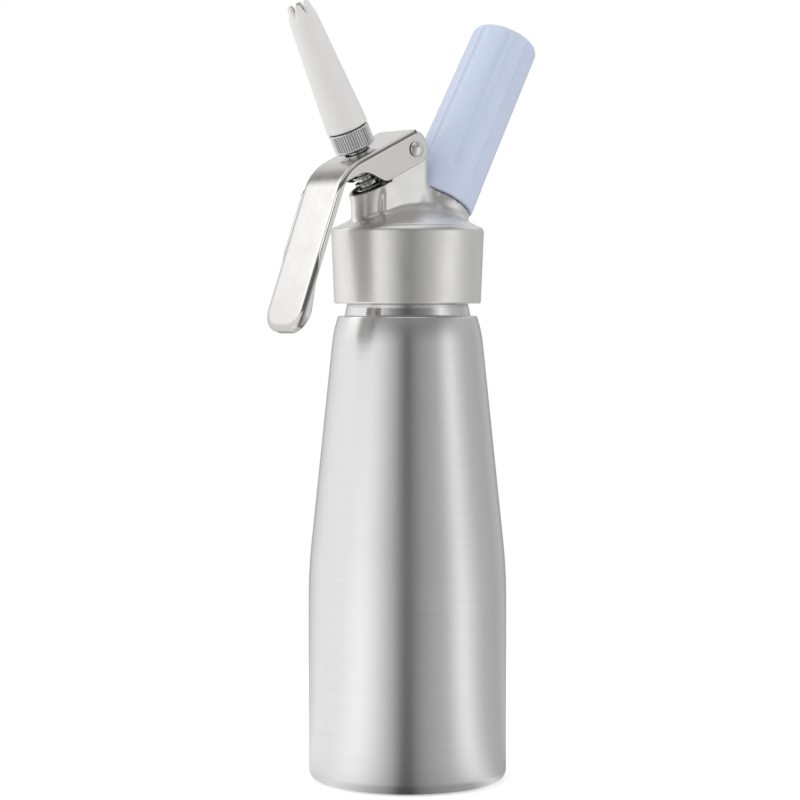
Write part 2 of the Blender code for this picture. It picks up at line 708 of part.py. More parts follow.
def handle_trim(inset):
    """A long plate square to the handle's face, which rounds the corners of the handle's end."""
    end, along, inward = lever_line()[1:]
    half = LEVER_WIDTH / 2 - inset
    fillet = HANDLE_CORNER_RADIUS - inset
    back = -2 * HANDLE_LENGTH
    wide = half + OVERRUN
    plan = rounded([(0, -half, fillet), (0, half, fillet), (back, wide, 0), (back, -wide, 0)])
    tip = end - along * inset
    sections = []
    for depth in (back, -back):
        places = [tip + along * x + inward * depth for x, y in plan]
        sections.append([(place.x, y, place.y) for place, (x, y) in zip(places, plan)])
    return lofted("trim", sections)


def round_top_edges(obj):
    """Rounds the pressed edge all round the plate and the handle's face."""
    bm = bmesh.new()
    bm.from_mesh(obj.data)
    bmesh.ops.dissolve_limit(bm, angle_limit=FLAT_ANGLE, verts=bm.verts, edges=bm.edges)
    edges = []
    for edge in bm.edges:
        first, second = (face.normal for face in edge.link_faces)
        middle = (edge.verts[0].co + edge.verts[1].co) / 2
        faces_up = max(first.z, second.z) > FACING_UP_SHARE
        if first.dot(second) < SQUARE_SHARE and faces_up and middle.x > -LEVER_REAR:
            edges.append(edge)
    bmesh.ops.bevel(bm, geom=edges, offset=EDGE_ROUND, segments=EDGE_STEPS, profile=0.5, affect="EDGES")
    bm.to_mesh(obj.data)
    bm.free()


def stem_reach():
    """How far along the plate from the pivot the stem comes through, at the middle of the sheet."""
    distance = valve_distance(LEVER_TOP - LEVER_SHEET / 2)
    x = -distance * sin(VALVE_TILT) - PIVOT_X
    z = VALVE_CROSS + distance * cos(VALVE_TILT) - PIVOT_Z
    return -x * cos(LEVER_SLOPE) - z * sin(LEVER_SLOPE)


def build_lever(pivot):
    """Outer form less the hollow below the sheet, then the rivet's and the stem's holes."""
    half = LEVER_WIDTH / 2
    lever = extruded("lever", lever_side(), -half, half)
    combine(lever, handle_trim(0), "INTERSECT")
    round_top_edges(lever)
    hollow = extruded("hollow", lever_hollow_side(), LEVER_SHEET - half, half - LEVER_SHEET)
    combine(hollow, handle_trim(LEVER_SHEET), "INTERSECT")
    cut(lever, hollow)
    rivet_hole = cylinder("rivet_hole", PIN_RADIUS + CLEARANCE, -half - OVERRUN, half + OVERRUN, PIN_STEPS)
    rivet_hole.rotation_euler = (pi / 2, 0, 0)
    apply_place(rivet_hole)
    cut(lever, rivet_hole)
    stem_hole = cylinder("stem_hole", STEM_RADIUS + LEVER_HOLE_CLEARANCE, 0, LEVER_TOP + OVERRUN)
    stem_hole.location = (stem_reach(), 0, 0)
    apply_place(stem_hole)
    cut(lever, stem_hole)
    lever.data.transform(Matrix.Rotation(pi, 4, "Z"))
    finish(on_axis(lever, pivot), POLISHED)


def build_rivet():
    """A shank through both cheeks and the block, domed at both ends."""
    seat = LEVER_WIDTH / 2 + CLEARANCE
    dome = (PIN_HEAD_RADIUS ** 2 + PIN_HEAD_HEIGHT ** 2) / (2 * PIN_HEAD_HEIGHT)
    arc = []
    for k in range(1, PIN_HEAD_RINGS + 1):
        radius = PIN_HEAD_RADIUS * k / PIN_HEAD_RINGS
        arc.append((radius, seat + PIN_HEAD_HEIGHT - dome + sqrt(dome ** 2 - radius ** 2)))
    outline = [(0, -seat - PIN_HEAD_HEIGHT)]
    outline += [(radius, -height) for radius, height in arc]
    outline += [(PIN_RADIUS, -seat), (PIN_RADIUS, seat)]
    outline += arc[::-1]
    outline.append((0, seat + PIN_HEAD_HEIGHT))
    rivet = turned("lever_pin", outline, PIN_STEPS)
    rivet.rotation_euler = (pi / 2, 0, 0)
    rivet.location = (PIVOT_X, 0, PIVOT_Z)
    finish(rivet, POLISHED)


def stem_groove(rise):
    """Outline points of one ring groove in the stem, from the bottom up."""
    floor = STEM_RADIUS - GROOVE_DEPTH
    low = SEAT_DISTANCE + rise
    high = low + GROOVE_HEIGHT
    return [(STEM_RADIUS, low), (floor, low), (floor, high), (STEM_RADIUS, high)]


def build_stem(axis):
    """A hollow stem with a sealing flange, a nose, cross holes above the seat and two ring grooves."""
    flange_foot = FLANGE_TOP - STEM_FLANGE_HEIGHT
    nose = flange_foot - STEM_NOSE_HEIGHT
    port = SEAT_DISTANCE + STEM_PORT_RISE
    outline = [
        (0, nose),
        (STEM_NOSE_RADIUS - STEM_CHAMFER, nose),
        (STEM_NOSE_RADIUS, nose + STEM_CHAMFER),
        (STEM_NOSE_RADIUS, flange_foot),
        (STEM_FLANGE_RADIUS, flange_foot),
        (STEM_FLANGE_RADIUS, FLANGE_TOP),
        (STEM_RADIUS, FLANGE_TOP),
    ]
    outline += stem_groove(LOWER_GROOVE_RISE) + stem_groove(UPPER_GROOVE_RISE)
    outline += [
        (STEM_RADIUS, STEM_TOP - STEM_CHAMFER),
        (STEM_RADIUS - STEM_CHAMFER, STEM_TOP),
        (STEM_BORE_RADIUS, STEM_TOP),
        (STEM_BORE_RADIUS, port - STEM_BORE_RADIUS),
        (0, port - STEM_BORE_RADIUS),
    ]
    stem = turned("valve_stem", outline, SMALL_STEPS)
    hole = cylinder("stem_port", STEM_PORT_RADIUS, -STEM_RADIUS - OVERRUN, STEM_RADIUS + OVERRUN, RING_STEPS)
    hole.rotation_euler = (pi / 2, 0, 0)
    hole.location = (0, 0, port)
    apply_place(hole)
    cut(stem, hole)
    finish(on_axis(stem, axis), STEEL)


def build_stem_rings(axis):
    """The seal on the stem's flange and the two rings in its grooves."""
    seal = washer("valve_seal", GUIDE_RADIUS, SEAL_RADIUS, SEAL_TOP - SEAL_HEIGHT, SEAL_TOP)
    finish(on_axis(seal, axis), SILICONE)
    middle = STEM_RADIUS - GROOVE_DEPTH + CLEARANCE + ORING_THICKNESS / 2
    for name, rise in (("stem_oring_lower", LOWER_GROOVE_RISE), ("stem_oring_upper", UPPER_GROOVE_RISE)):
        height = SEAT_DISTANCE + rise + GROOVE_HEIGHT / 2
        finish(on_axis(ring_of(name, middle, ORING_THICKNESS, height), axis), RUBBER)


def build_collar(axis):
    """The domed nut on the stem that the lever presses; the spring pushes it up from below."""
    bore = GUIDE_RADIUS
    outline = [(bore, COLLAR_FOOT), (COLLAR_RADIUS - STEM_CHAMFER, COLLAR_FOOT)]
    outline.append((COLLAR_RADIUS, COLLAR_FOOT + STEM_CHAMFER))
    for k in range(COLLAR_RINGS + 1):
        radius = COLLAR_RADIUS + (bore - COLLAR_RADIUS) * k / COLLAR_RINGS
        rise = sqrt(COLLAR_DOME_RADIUS ** 2 - radius ** 2)
        outline.append((radius, COLLAR_TOP - COLLAR_DOME_RADIUS + rise))
    finish(on_axis(turned("valve_collar", outline, SMALL_STEPS), axis), STEEL)


def least_gap(line, apart):
    """The least distance between points of a line that lie more than so many points apart along it."""
    gaps = []
    for k, place in enumerate(line):
        gaps += [(place - other).length for other in line[k + apart:]]
    return min(gaps)


def build_spring(axis):
    """A coil from the spring seat in the cup up to the collar."""
    seat = CUP_FLOOR_DISTANCE + CLEARANCE
    washer_top = seat + SPRING_SEAT_THICKNESS
    seat_ring = washer("spring_seat", GUIDE_RADIUS, CUP_BORE_RADIUS - CLEARANCE, seat, washer_top)
    finish(on_axis(seat_ring, axis), STEEL)
    low = washer_top + CLEARANCE + SPRING_WIRE_RADIUS
    high = COLLAR_FOOT - CLEARANCE - SPRING_WIRE_RADIUS
    curve = bpy.data.curves.new("valve_spring", "CURVE")
    curve.dimensions = "3D"
    curve.bevel_depth = SPRING_WIRE_RADIUS
    curve.bevel_resolution = 1
    curve.use_fill_caps = True
    coil = curve.splines.new("POLY")
    count = SPRING_TURNS * SPRING_TURN_POINTS
    coil.points.add(count)
    line = []
    for k in range(count + 1):
        angle = 2 * pi * k / SPRING_TURN_POINTS
        height = low + (high - low) * k / count
        line.append(Vector((SPRING_RADIUS * cos(angle), SPRING_RADIUS * sin(angle), height)))
    for place, point in zip(line, coil.points):
        point.co = (*place, 1)
    gap = least_gap(line, SPRING_TURN_POINTS // 2) - 2 * SPRING_WIRE_RADIUS
    print(f"least gap between the spring's turns: {gap / MM:.2f} mm")
    spring = bpy.data.objects.new("valve_spring", curve)
    bpy.context.scene.collection.objects.link(spring)
    on_axis(spring, axis)
    curve.materials.append(new_material("valve_spring", STEEL))


def knurl(step, radius, height):
    """Every second step of the adapter's widest band lies lower."""
    return -KNURL_DEPTH if step % 2 and radius >= ADAPTER_RADIUS else 0


def build_adapter(axis):
    """The knurled ring on the stem's top, with the spigot that carries the tip."""
    outline = [
        (GUIDE_RADIUS, ADAPTER_FOOT),
        (ADAPTER_RADIUS - ADAPTER_CHAMFER, ADAPTER_FOOT),
        (ADAPTER_RADIUS, ADAPTER_FOOT + ADAPTER_CHAMFER),
        (ADAPTER_RADIUS, ADAPTER_TOP),
        (SPIGOT_RADIUS, ADAPTER_TOP),
        (SPIGOT_RADIUS, SPIGOT_TOP),
        (SPIGOT_BORE_RADIUS, SPIGOT_TOP),
        (SPIGOT_BORE_RADIUS, STEM_SHOULDER),
        (GUIDE_RADIUS, STEM_SHOULDER),
    ]
    finish(on_axis(turned("nozzle_adapter", outline, 2 * KNURL_TEETH, knurl), axis), POLISHED)
    low = STEM_TOP + CLEARANCE
    seal = washer("stem_seal", STEM_SEAL_BORE_RADIUS, STEM_RADIUS, low, low + STEM_SEAL_THICKNESS)
    finish(on_axis(seal, axis), SILICONE)


def build_tip(axis):
    """The decorating tip: a tapering tube with a curled, notched mouth and a socket for the spigot."""
    low = SPIGOT_TOP + CLEARANCE
    inner = SPIGOT_BORE_RADIUS + CLEARANCE
    seal = washer("tip_seal", inner, SPIGOT_RADIUS - CLEARANCE, low, low + TIP_SEAL_THICKNESS)
    finish(on_axis(seal, axis), SILICONE)
    curl = TIP_TOP - TIP_CURL
    socket = SPIGOT_RADIUS + CLEARANCE
    outline = rounded([
        (socket, TIP_FOOT, 0),
        (TIP_FOOT_RADIUS, TIP_FOOT, TIP_FOOT_FILLET),
        (TIP_END_RADIUS, curl, TIP_CURL_FILLET),
        (TIP_MOUTH_RADIUS, TIP_TOP, 0),
        (TIP_MOUTH_RADIUS - TIP_WALL, TIP_TOP, 0),
        (TIP_END_RADIUS - TIP_WALL, curl, TIP_CURL_FILLET - TIP_WALL),
        (TIP_SHOULDER_RADIUS, TIP_SHOULDER, 0),
        (socket, TIP_SHOULDER, 0),
    ])
    tip = turned("nozzle_tip", outline, TIP_STEPS)
    for k in range(TIP_NOTCHES // 2):
        half = TIP_NOTCH_WIDTH / 2
        notch_low = TIP_TOP - TIP_NOTCH_DEPTH
        wide = half * (1 + OVERRUN / TIP_NOTCH_DEPTH)
        wedge = [(0, notch_low), (wide, TIP_TOP + OVERRUN), (-wide, TIP_TOP + OVERRUN)]
        notch = extruded("notch", wedge, -TIP_FOOT_RADIUS, TIP_FOOT_RADIUS)
        notch.rotation_euler = (0, 0, 2 * pi * k / TIP_NOTCHES + TIP_NOTCH_TURN)
        apply_place(notch)
        cut(tip, notch)
    finish(on_axis(tip, axis), WHITE_PLASTIC)


def flute_cutter(angle):
    """A round-ended bar that lies along the holder's taper and sinks into it by the flute's depth."""
    radius = (FLUTE_WIDTH ** 2 / 4 + FLUTE_DEPTH ** 2) / (2 * FLUTE_DEPTH)
    length = HOLDER_LENGTH + OVERRUN
    outline = rounded([(0, 0, 0), (radius, 0, radius), (radius, length, 0), (0, length, 0)])
    bar = turned("flute", outline, FLUTE_STEPS)
    lean = (HOLDER_RADIUS - HOLDER_END_RADIUS) / HOLDER_LENGTH
    distance = HOLDER_RADIUS - lean * FLUTE_START + radius - FLUTE_DEPTH
    tilt = Matrix.Rotation(-lean, 4, "Y")
    place = Matrix.Translation((distance, 0, FLUTE_START))
    bar.data.transform(Matrix.Rotation(angle, 4, "Z") @ place @ tilt)
    return bar


def build_holder(axis):
    """The fluted plastic cap with its metal liner, threaded inside at the foot."""
    thread_radius = STUB_RADIUS + THREAD_GAP
    wide = thread_radius + LINER_WALL + CLEARANCE
    narrow = CARTRIDGE_RADIUS + CLEARANCE + LINER_WALL + CLEARANCE
    outline = rounded([
        (wide, 0, 0),
        (HOLDER_RADIUS, 0, HOLDER_RIM_FILLET),
        (HOLDER_END_RADIUS, HOLDER_LENGTH, HOLDER_END_FILLET),
        (0, HOLDER_LENGTH, 0),
        (0, LINER_TOP + CLEARANCE, 0),
        (narrow, LINER_TOP + CLEARANCE, 0),
        (narrow, LINER_STEP + LINER_WALL + CLEARANCE, 0),
        (wide, LINER_STEP + LINER_WALL + CLEARANCE, 0),
    ])
    holder = turned("charger_holder", outline)
    for k in range(FLUTES):
        cut(holder, flute_cutter(2 * pi * k / FLUTES + FLUTE_TURN))
    finish(on_axis(holder, axis), BLUE_PLASTIC)
    bore = CARTRIDGE_RADIUS + CLEARANCE
    liner = [
        (thread_radius, LINER_RECESS),
        (thread_radius + LINER_WALL, LINER_RECESS),
        (thread_radius + LINER_WALL, LINER_STEP + LINER_WALL),
        (bore + LINER_WALL, LINER_STEP + LINER_WALL),
        (bore + LINER_WALL, LINER_TOP),
        (0, LINER_TOP),
        (0, CARTRIDGE_TOP + CLEARANCE),
        (bore, CARTRIDGE_TOP + CLEARANCE),
        (bore, LINER_STEP),
        (thread_radius, LINER_STEP),
    ]
    finish(on_axis(turned("holder_insert", liner, SMALL_STEPS), axis), ZINC)


def build_cartridge(axis):
    """The gas cartridge, neck down on the port."""
    neck_top = CARTRIDGE_FOOT + CARTRIDGE_NECK_LENGTH
    outline = rounded([
        (0, CARTRIDGE_FOOT, 0),
        (CARTRIDGE_NECK_RADIUS, CARTRIDGE_FOOT, CARTRIDGE_NECK_FILLET),
        (CARTRIDGE_NECK_RADIUS, neck_top, 0),
        (CARTRIDGE_RADIUS, neck_top + CARTRIDGE_SHOULDER, CARTRIDGE_SHOULDER_FILLET),
        (CARTRIDGE_RADIUS, CARTRIDGE_TOP, CARTRIDGE_RADIUS - CLEARANCE),
        (0, CARTRIDGE_TOP, 0),
    ])
    finish(on_axis(turned("gas_charger", outline, SMALL_STEPS), axis), ZINC)


def build_port_parts(axis):
    """From the floor of the port's bore up: valve disc, piercing pin, its ring and the cartridge seal."""
    radius = PORT_BORE_RADIUS - CLEARANCE
    hole = PIERCER_RADIUS + RING_HOLE_CLEARANCE
    height = PORT_FLOOR + CLEARANCE
    finish(on_axis(cylinder("check_valve", radius, height, height + CHECK_VALVE_THICKNESS), axis), RUBBER)
    height += CHECK_VALVE_THICKNESS + CLEARANCE
    point = CARTRIDGE_FOOT - CLEARANCE
    outline = [
        (0, height),
        (radius, height),
        (radius, height + PIN_BASE_THICKNESS),
        (PIERCER_RADIUS, height + PIN_BASE_THICKNESS),
        (PIERCER_RADIUS, point - PIERCER_TIP_LENGTH),
        (PIERCER_TIP_RADIUS, point),
        (0, point),
    ]
    finish(on_axis(turned("piercing_pin", outline, PIN_STEPS), axis), STEEL)
    height += PIN_BASE_THICKNESS + CLEARANCE
    retainer = washer("pin_retainer", hole, radius, height, height + RETAINER_THICKNESS)
    finish(on_axis(retainer, axis), STEEL)
    height += RETAINER_THICKNESS + CLEARANCE
    seal = washer("charger_seal", hole, radius, height, height + CHARGER_SEAL_THICKNESS)
    finish(on_axis(seal, axis), RUBBER)


clear_scene()
valve_line = axis_empty("valve_axis", (0, 0, VALVE_CROSS), -VALVE_TILT)
rim_x = RIM_DISTANCE * sin(CHARGER_TILT)
rim_z = CHARGER_CROSS + RIM_DISTANCE * cos(CHARGER_TILT)
charger_line = axis_empty("charger_axis", (rim_x, 0, rim_z), CHARGER_TILT)
lever_pivot = axis_empty("lever_pivot", (PIVOT_X, 0, PIVOT_Z), -LEVER_SLOPE)
build_bottle()
build_gasket()
build_head(valve_line, charger_line)
build_stem(valve_line)
build_stem_rings(valve_line)
build_spring(valve_line)
build_collar(valve_line)
build_lever(lever_pivot)
build_rivet()
build_adapter(valve_line)
build_tip(valve_line)
build_port_parts(charger_line)
build_cartridge(charger_line)
build_holder(charger_line)
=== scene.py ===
from math import atan2, ceil, cos, pi, radians, sin, tan

import bmesh
import bpy
import numpy as np
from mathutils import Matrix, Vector


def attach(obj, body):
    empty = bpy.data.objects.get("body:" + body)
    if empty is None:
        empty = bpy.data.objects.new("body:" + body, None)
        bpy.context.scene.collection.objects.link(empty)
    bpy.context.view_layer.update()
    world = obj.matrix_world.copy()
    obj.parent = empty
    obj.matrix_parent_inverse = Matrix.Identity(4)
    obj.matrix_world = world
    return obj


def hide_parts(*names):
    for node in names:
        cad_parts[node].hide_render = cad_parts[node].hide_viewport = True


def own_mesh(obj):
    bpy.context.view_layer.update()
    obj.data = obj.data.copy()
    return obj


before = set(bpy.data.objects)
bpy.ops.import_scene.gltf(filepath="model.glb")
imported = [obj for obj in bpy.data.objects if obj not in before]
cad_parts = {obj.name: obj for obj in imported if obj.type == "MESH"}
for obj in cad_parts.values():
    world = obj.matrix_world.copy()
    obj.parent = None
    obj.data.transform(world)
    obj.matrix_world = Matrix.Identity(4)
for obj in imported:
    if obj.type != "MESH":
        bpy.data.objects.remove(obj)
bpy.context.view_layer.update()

# View
# The dispenser stands with its lever to the left and a little towards the eye, seen from just above the
# middle of its height through a long lens.
eye_turn = radians(37)
eye_distance = 1.034
eye_height = 0.194
side_shift = 0.00303
lens = bpy.data.cameras.new("eye")
lens.lens = 115.2
lens.sensor_width = 36
lens.clip_end = 20
eye = bpy.data.objects.new("eye", lens)
bpy.context.scene.collection.objects.link(eye)
to_right = Vector((cos(eye_turn), -sin(eye_turn), 0))
eye.location = Vector((-sin(eye_turn), -cos(eye_turn), 0)) * eye_distance - to_right * side_shift
eye.location.z = eye_height
eye.rotation_euler = (radians(90) - atan2(100, 2560), 0, -eye_turn)
bpy.context.scene.camera = eye

# Bottle
# Deep-drawn stainless steel, spun in to a shoulder and a neck. The body is brushed round and round, the band
# under the head is polished, and the neck has a rolled thread.


def rounded(corners, closed=True, turn=radians(9), ease=0.35):
    """Points along an outline of (across, up, fillet) corners, in millimetres.

    A fillet of radius r between two straight runs is an arc about the point at r / sin(half the corner's
    angle) along its bisector. A straight run gets a point close to each end, so that smooth shading stays on
    the arcs.
    """
    places = np.array([corner[:2] for corner in corners], float)
    count = len(places)
    arcs = []
    for i, (x, y, radius) in enumerate(corners):
        here = places[i]
        if radius == 0 or (not closed and i in (0, count - 1)):
            arcs.append(here[None])
            continue
        back = places[i - 1] - here
        ahead = places[(i + 1) % count] - here
        back = back / np.hypot(*back)
        ahead = ahead / np.hypot(*ahead)
        half = np.arccos(np.clip(back @ ahead, -1, 1)) / 2
        middle = back + ahead
        centre = here + middle / np.hypot(*middle) * radius / np.sin(half)
        first = here + back * radius / np.tan(half) - centre
        last = here + ahead * radius / np.tan(half) - centre
        start = np.arctan2(first[1], first[0])
        sweep = (np.arctan2(last[1], last[0]) - start + pi) % (2 * pi) - pi
        angle = start + sweep * np.linspace(0, 1, max(3, ceil(abs(sweep) / turn)) + 1)
        arcs.append(centre + radius * np.stack([np.cos(angle), np.sin(angle)], 1))
    line = []
    for i, arc in enumerate(arcs):
        line.append(arc)
        if i == count - 1 and not closed:
            break
        run = arcs[(i + 1) % count][0] - arc[-1]
        length = np.hypot(*run)
        if length > 4 * ease:
            line.append(arc[-1] + np.outer((ease / length, 1 - ease / length), run))
    return np.concatenate(line)


def skin(name, grid, round_rows=True, closed_rows=False, sharp=radians(35)):
    """A mesh through a grid of points, rows by columns, in millimetres.

    Each point is joined to its neighbours by four-sided faces; round_rows joins the last column to the first,
    and closed_rows the last row to the first. Points that coincide, as at a pole, become one. The map runs
    from 0 to 1 along a row, and in metres from row to row.
    """
    rows, columns = grid.shape[:2]
    row = np.arange(rows if closed_rows else rows - 1)[:, None]
    column = np.arange(columns if round_rows else columns - 1)[None, :]
    after, above = (column + 1) % columns, (row + 1) % rows
    corners = np.stack([row * columns + column, row * columns + after,
                        above * columns + after, above * columns + column], -1)
    span = columns if round_rows else columns - 1
    steps = np.linalg.norm(np.diff(grid, axis=0), axis=2).max(axis=1)
    climb = np.append(np.concatenate([[0], np.cumsum(steps)]), 0) * 0.001
    climb[-1] = climb[-2] + np.linalg.norm(grid[0] - grid[-1], axis=1).max() * 0.001
    left, right = column / span + 0 * row, (column + 1) / span + 0 * row
    low, high = climb[row] + 0 * column, climb[row + 1] + 0 * column
    chart = np.stack([np.stack([left, low], -1), np.stack([right, low], -1),
                      np.stack([right, high], -1), np.stack([left, high], -1)], -2)
    mesh = bpy.data.meshes.new(name)
    mesh.vertices.add(rows * columns)
    mesh.vertices.foreach_set("co", (grid * 0.001).astype(np.float32).ravel())
    faces = corners.reshape(-1, 4)
    mesh.loops.add(faces.size)
    mesh.loops.foreach_set("vertex_index", faces.astype(np.int32).ravel())
    mesh.polygons.add(len(faces))
    mesh.polygons.foreach_set("loop_start", np.arange(0, faces.size, 4, dtype=np.int32))
    mesh.update(calc_edges=True)
    mesh.uv_layers.new(name="map").data.foreach_set("uv", chart.astype(np.float32).ravel())
    tidy = bmesh.new()
    tidy.from_mesh(mesh)
    bmesh.ops.remove_doubles(tidy, verts=tidy.verts, dist=1e-7)
    bmesh.ops.dissolve_degenerate(tidy, edges=tidy.edges, dist=1e-8)
    tidy.to_mesh(mesh)
    tidy.free()
    mesh.shade_smooth()
    mesh.set_sharp_from_angle(angle=sharp)
    piece = bpy.data.objects.new(name, mesh)
    bpy.context.scene.collection.objects.link(piece)
    return piece


def turned_grid(outline, steps=128):
    """Points of a (radius, height) outline carried round Z: radius times cosine and sine, and the height."""
    angle = 2 * pi * np.arange(steps) / steps
    radius, height = outline[:, 0, None], outline[:, 1, None]
    return np.stack([radius * np.cos(angle), radius * np.sin(angle), height + 0 * angle], -1)


def turned(name, corners, steps=128, closed=True, axis=None, turn=radians(9)):
    """A turned body: its rounded outline carried round Z, or round a tilted axis."""
    grid = turned_grid(rounded(corners, closed, turn), steps)
    if axis is not None:
        grid = on_axis(grid, *axis)
    return skin(name, grid, closed_rows=closed)


def on_axis(grid, foot, tilt):
    """The grid's Z laid along an axis that starts at foot and leans by tilt from upright, towards +X."""
    x, y, z = grid[..., 0], grid[..., 1], grid[..., 2]
    return np.stack([foot[0] + x * np.cos(tilt) + z * np.sin(tilt), foot[1] + y,
                     foot[2] - x * np.sin(tilt) + z * np.cos(tilt)], -1)


def new_finish(name, colour, roughness, metallic, **rest):
    """A material with its plain values, ready for its pattern."""
    material = bpy.data.materials.new(name)
    material.use_nodes = True
    shader = material.node_tree.nodes["Principled BSDF"]
    shader.inputs["Base Color"].default_value = (*colour, 1)
    shader.inputs["Roughness"].default_value = roughness
    shader.inputs["Metallic"].default_value = metallic
    for socket, value in rest.items():
        shader.inputs[socket.replace("_", " ")].default_value = value
    return material


def grain(material, scale, kind="Object", detail=3.0, roughness=0.6, place=(0, 0, 0)):
    """Noise over the piece, stretched by scale, on object places or on the piece's own map."""
    nodes, links = material.node_tree.nodes, material.node_tree.links
    where = nodes.new("ShaderNodeTexCoord")
    mapping = nodes.new("ShaderNodeMapping")
    mapping.inputs["Scale"].default_value = scale
    mapping.inputs["Location"].default_value = place
    noise = nodes.new("ShaderNodeTexNoise")
    noise.inputs["Scale"].default_value = 1
    noise.inputs["Detail"].default_value = detail
    noise.inputs["Roughness"].default_value = roughness
    links.new(where.outputs[kind], mapping.inputs["Vector"])
    links.new(mapping.outputs["Vector"], noise.inputs["Vector"])
    return noise.outputs["Fac"]


def between(material, fac, low, high, socket, centre=0.5, reach=0.22):
    """Sends a pattern, stretched from low to high about its centre, to a socket: numbers or colours."""
    nodes, links = material.node_tree.nodes, material.node_tree.links
    shader = nodes["Principled BSDF"]
    if isinstance(low, tuple):
        ramp = nodes.new("ShaderNodeValToRGB")
        ramp.color_ramp.elements[0].position = centre - reach
        ramp.color_ramp.elements[0].color = (*low, 1)
        ramp.color_ramp.elements[1].position = centre + reach
        ramp.color_ramp.elements[1].color = (*high, 1)
        links.new(fac, ramp.inputs["Fac"])
        links.new(ramp.outputs["Color"], shader.inputs[socket])
        return
    span = nodes.new("ShaderNodeMapRange")
    span.inputs["From Min"].default_value = centre - reach
    span.inputs["From Max"].default_value = centre + reach
    span.inputs["To Min"].default_value = low
    span.inputs["To Max"].default_value = high
    links.new(fac, span.inputs["Value"])
    links.new(span.outputs["Result"], shader.inputs[socket])


def relief(material, fac, depth, strength=1.0):
    """Raises the surface's shading by a pattern, depth in metres from its least to its greatest value."""
    nodes, links = material.node_tree.nodes, material.node_tree.links
    bump = nodes.new("ShaderNodeBump")
    bump.inputs["Distance"].default_value = depth
    bump.inputs["Strength"].default_value = strength
    links.new(fac, bump.inputs["Height"])
    links.new(bump.outputs["Normal"], nodes["Principled BSDF"].inputs["Normal"])


def brushed_round(material, rotation):
    """Lets the gloss spread across the brushing, which runs round the upright axis."""
    nodes, links = material.node_tree.nodes, material.node_tree.links
    tangent = nodes.new("ShaderNodeTangent")
    tangent.direction_type = "RADIAL"
    tangent.axis = "Z"
    links.new(tangent.outputs["Tangent"], nodes["Principled BSDF"].inputs["Tangent"])
    nodes["Principled BSDF"].inputs["Anisotropic Rotation"].default_value = rotation


def dress(piece, body, slot, finish, *nodes):
    """Gives a piece its finish, the body that it rides on, and the CAD nodes that it stands for."""
    piece.data.materials.clear()
    piece.data.materials.append(finish)
    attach(piece, body)
    if nodes:
        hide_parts(*nodes)
    return piece


bottle_steel = new_finish("brushed_bottle_steel", (0.78, 0.775, 0.775), 0.3, 1.0, Anisotropic=0.6)
brushed_round(bottle_steel, 0.25)
fine_lines = grain(bottle_steel, (5, 5200, 1), "UV", 2)
between(bottle_steel, fine_lines, (0.74, 0.735, 0.735), (0.82, 0.815, 0.815), "Base Color")
between(bottle_steel, grain(bottle_steel, (30, 30, 8)), 0.27, 0.33, "Roughness")
relief(bottle_steel, fine_lines, 0.00001, 0.35)

neck_steel = new_finish("polished_neck_steel", (0.78, 0.775, 0.775), 0.10, 1.0)
between(neck_steel, grain(neck_steel, (4, 3000, 1), "UV"), 0.08, 0.13, "Roughness")

neck_pitch = 5.0
base_recess = 1.0
bottle_outline = rounded([
    (0, base_recess, 0), (31.5, base_recess, 2.5), (34.3, 0, 1.8), (40.0, 0, 4.3), (40.0, 85.0, 190),
    (30.0, 181.0, 45),
    (28.0, 187.7, 1.2), (25.4, 187.7, 0.25), (24.4, 192.6, 1.0), (24.1, 194.2, 0.3), (24.1, 206.9, 0.4),
    (23.3, 208.0, 0.4), (22.4, 208.0, 0.4), (22.4, 186.1, 2.0), (26.6, 184.6, 1.0), (28.4, 178.0, 30),
    (38.4, 85.0, 190), (38.4, 2.6, 2.9), (0, 2.6, 0)], closed=False, turn=radians(6))
on_thread = np.flatnonzero((bottle_outline[:, 0] == 24.1) & (bottle_outline[:, 1] > 194)
                           | (np.abs(bottle_outline[:, 0] - 24.1) < 1e-9))
thread_rows = np.linspace(194.8, 206.2, 76)
split_low = on_thread[bottle_outline[on_thread, 1] < 200][-1]
split_high = on_thread[bottle_outline[on_thread, 1] > 200][0]
bottle_outline = np.concatenate([
    bottle_outline[:split_low + 1], np.stack([0 * thread_rows + 24.1, thread_rows], 1),
    bottle_outline[split_high:]])


def ridge(angle, height, foot, top, pitch, crest, width, fade=1.5):
    """How far a rolled thread stands out: a smooth hump of the given width about each turn of a helix.

    The helix climbs by pitch in one turn. The hump is a raised cosine, and it dies away within fade of
    the thread's foot and top.
    """
    along = (height - foot - pitch * angle / (2 * pi)) % pitch
    off = np.minimum(along, pitch - along)
    hump = 0.5 + 0.5 * np.cos(pi * np.clip(off / (width / 2), 0, 1))
    ends = np.clip((height - foot) / fade, 0, 1) * np.clip((top - height) / fade, 0, 1)
    return crest * hump * np.sin(ends * pi / 2) ** 2


def threaded(grid, foot, top, pitch, crest, width, low_radius, high_radius, inward=False):
    """The grid with a thread added to its radius where its wall lies between two radii."""
    radius = np.hypot(grid[..., 0], grid[..., 1])
    angle = np.arctan2(grid[..., 1], grid[..., 0])
    inside = (radius > low_radius) & (radius < high_radius) & (grid[..., 2] > foot) & (grid[..., 2] < top)
    rise = np.where(inside, ridge(angle, grid[..., 2], foot, top, pitch, crest, width), 0)
    share = 1 + (-rise if inward else rise) / np.maximum(radius, 1e-6)
    out = grid.copy()
    out[..., 0] *= share
    out[..., 1] *= share
    return out


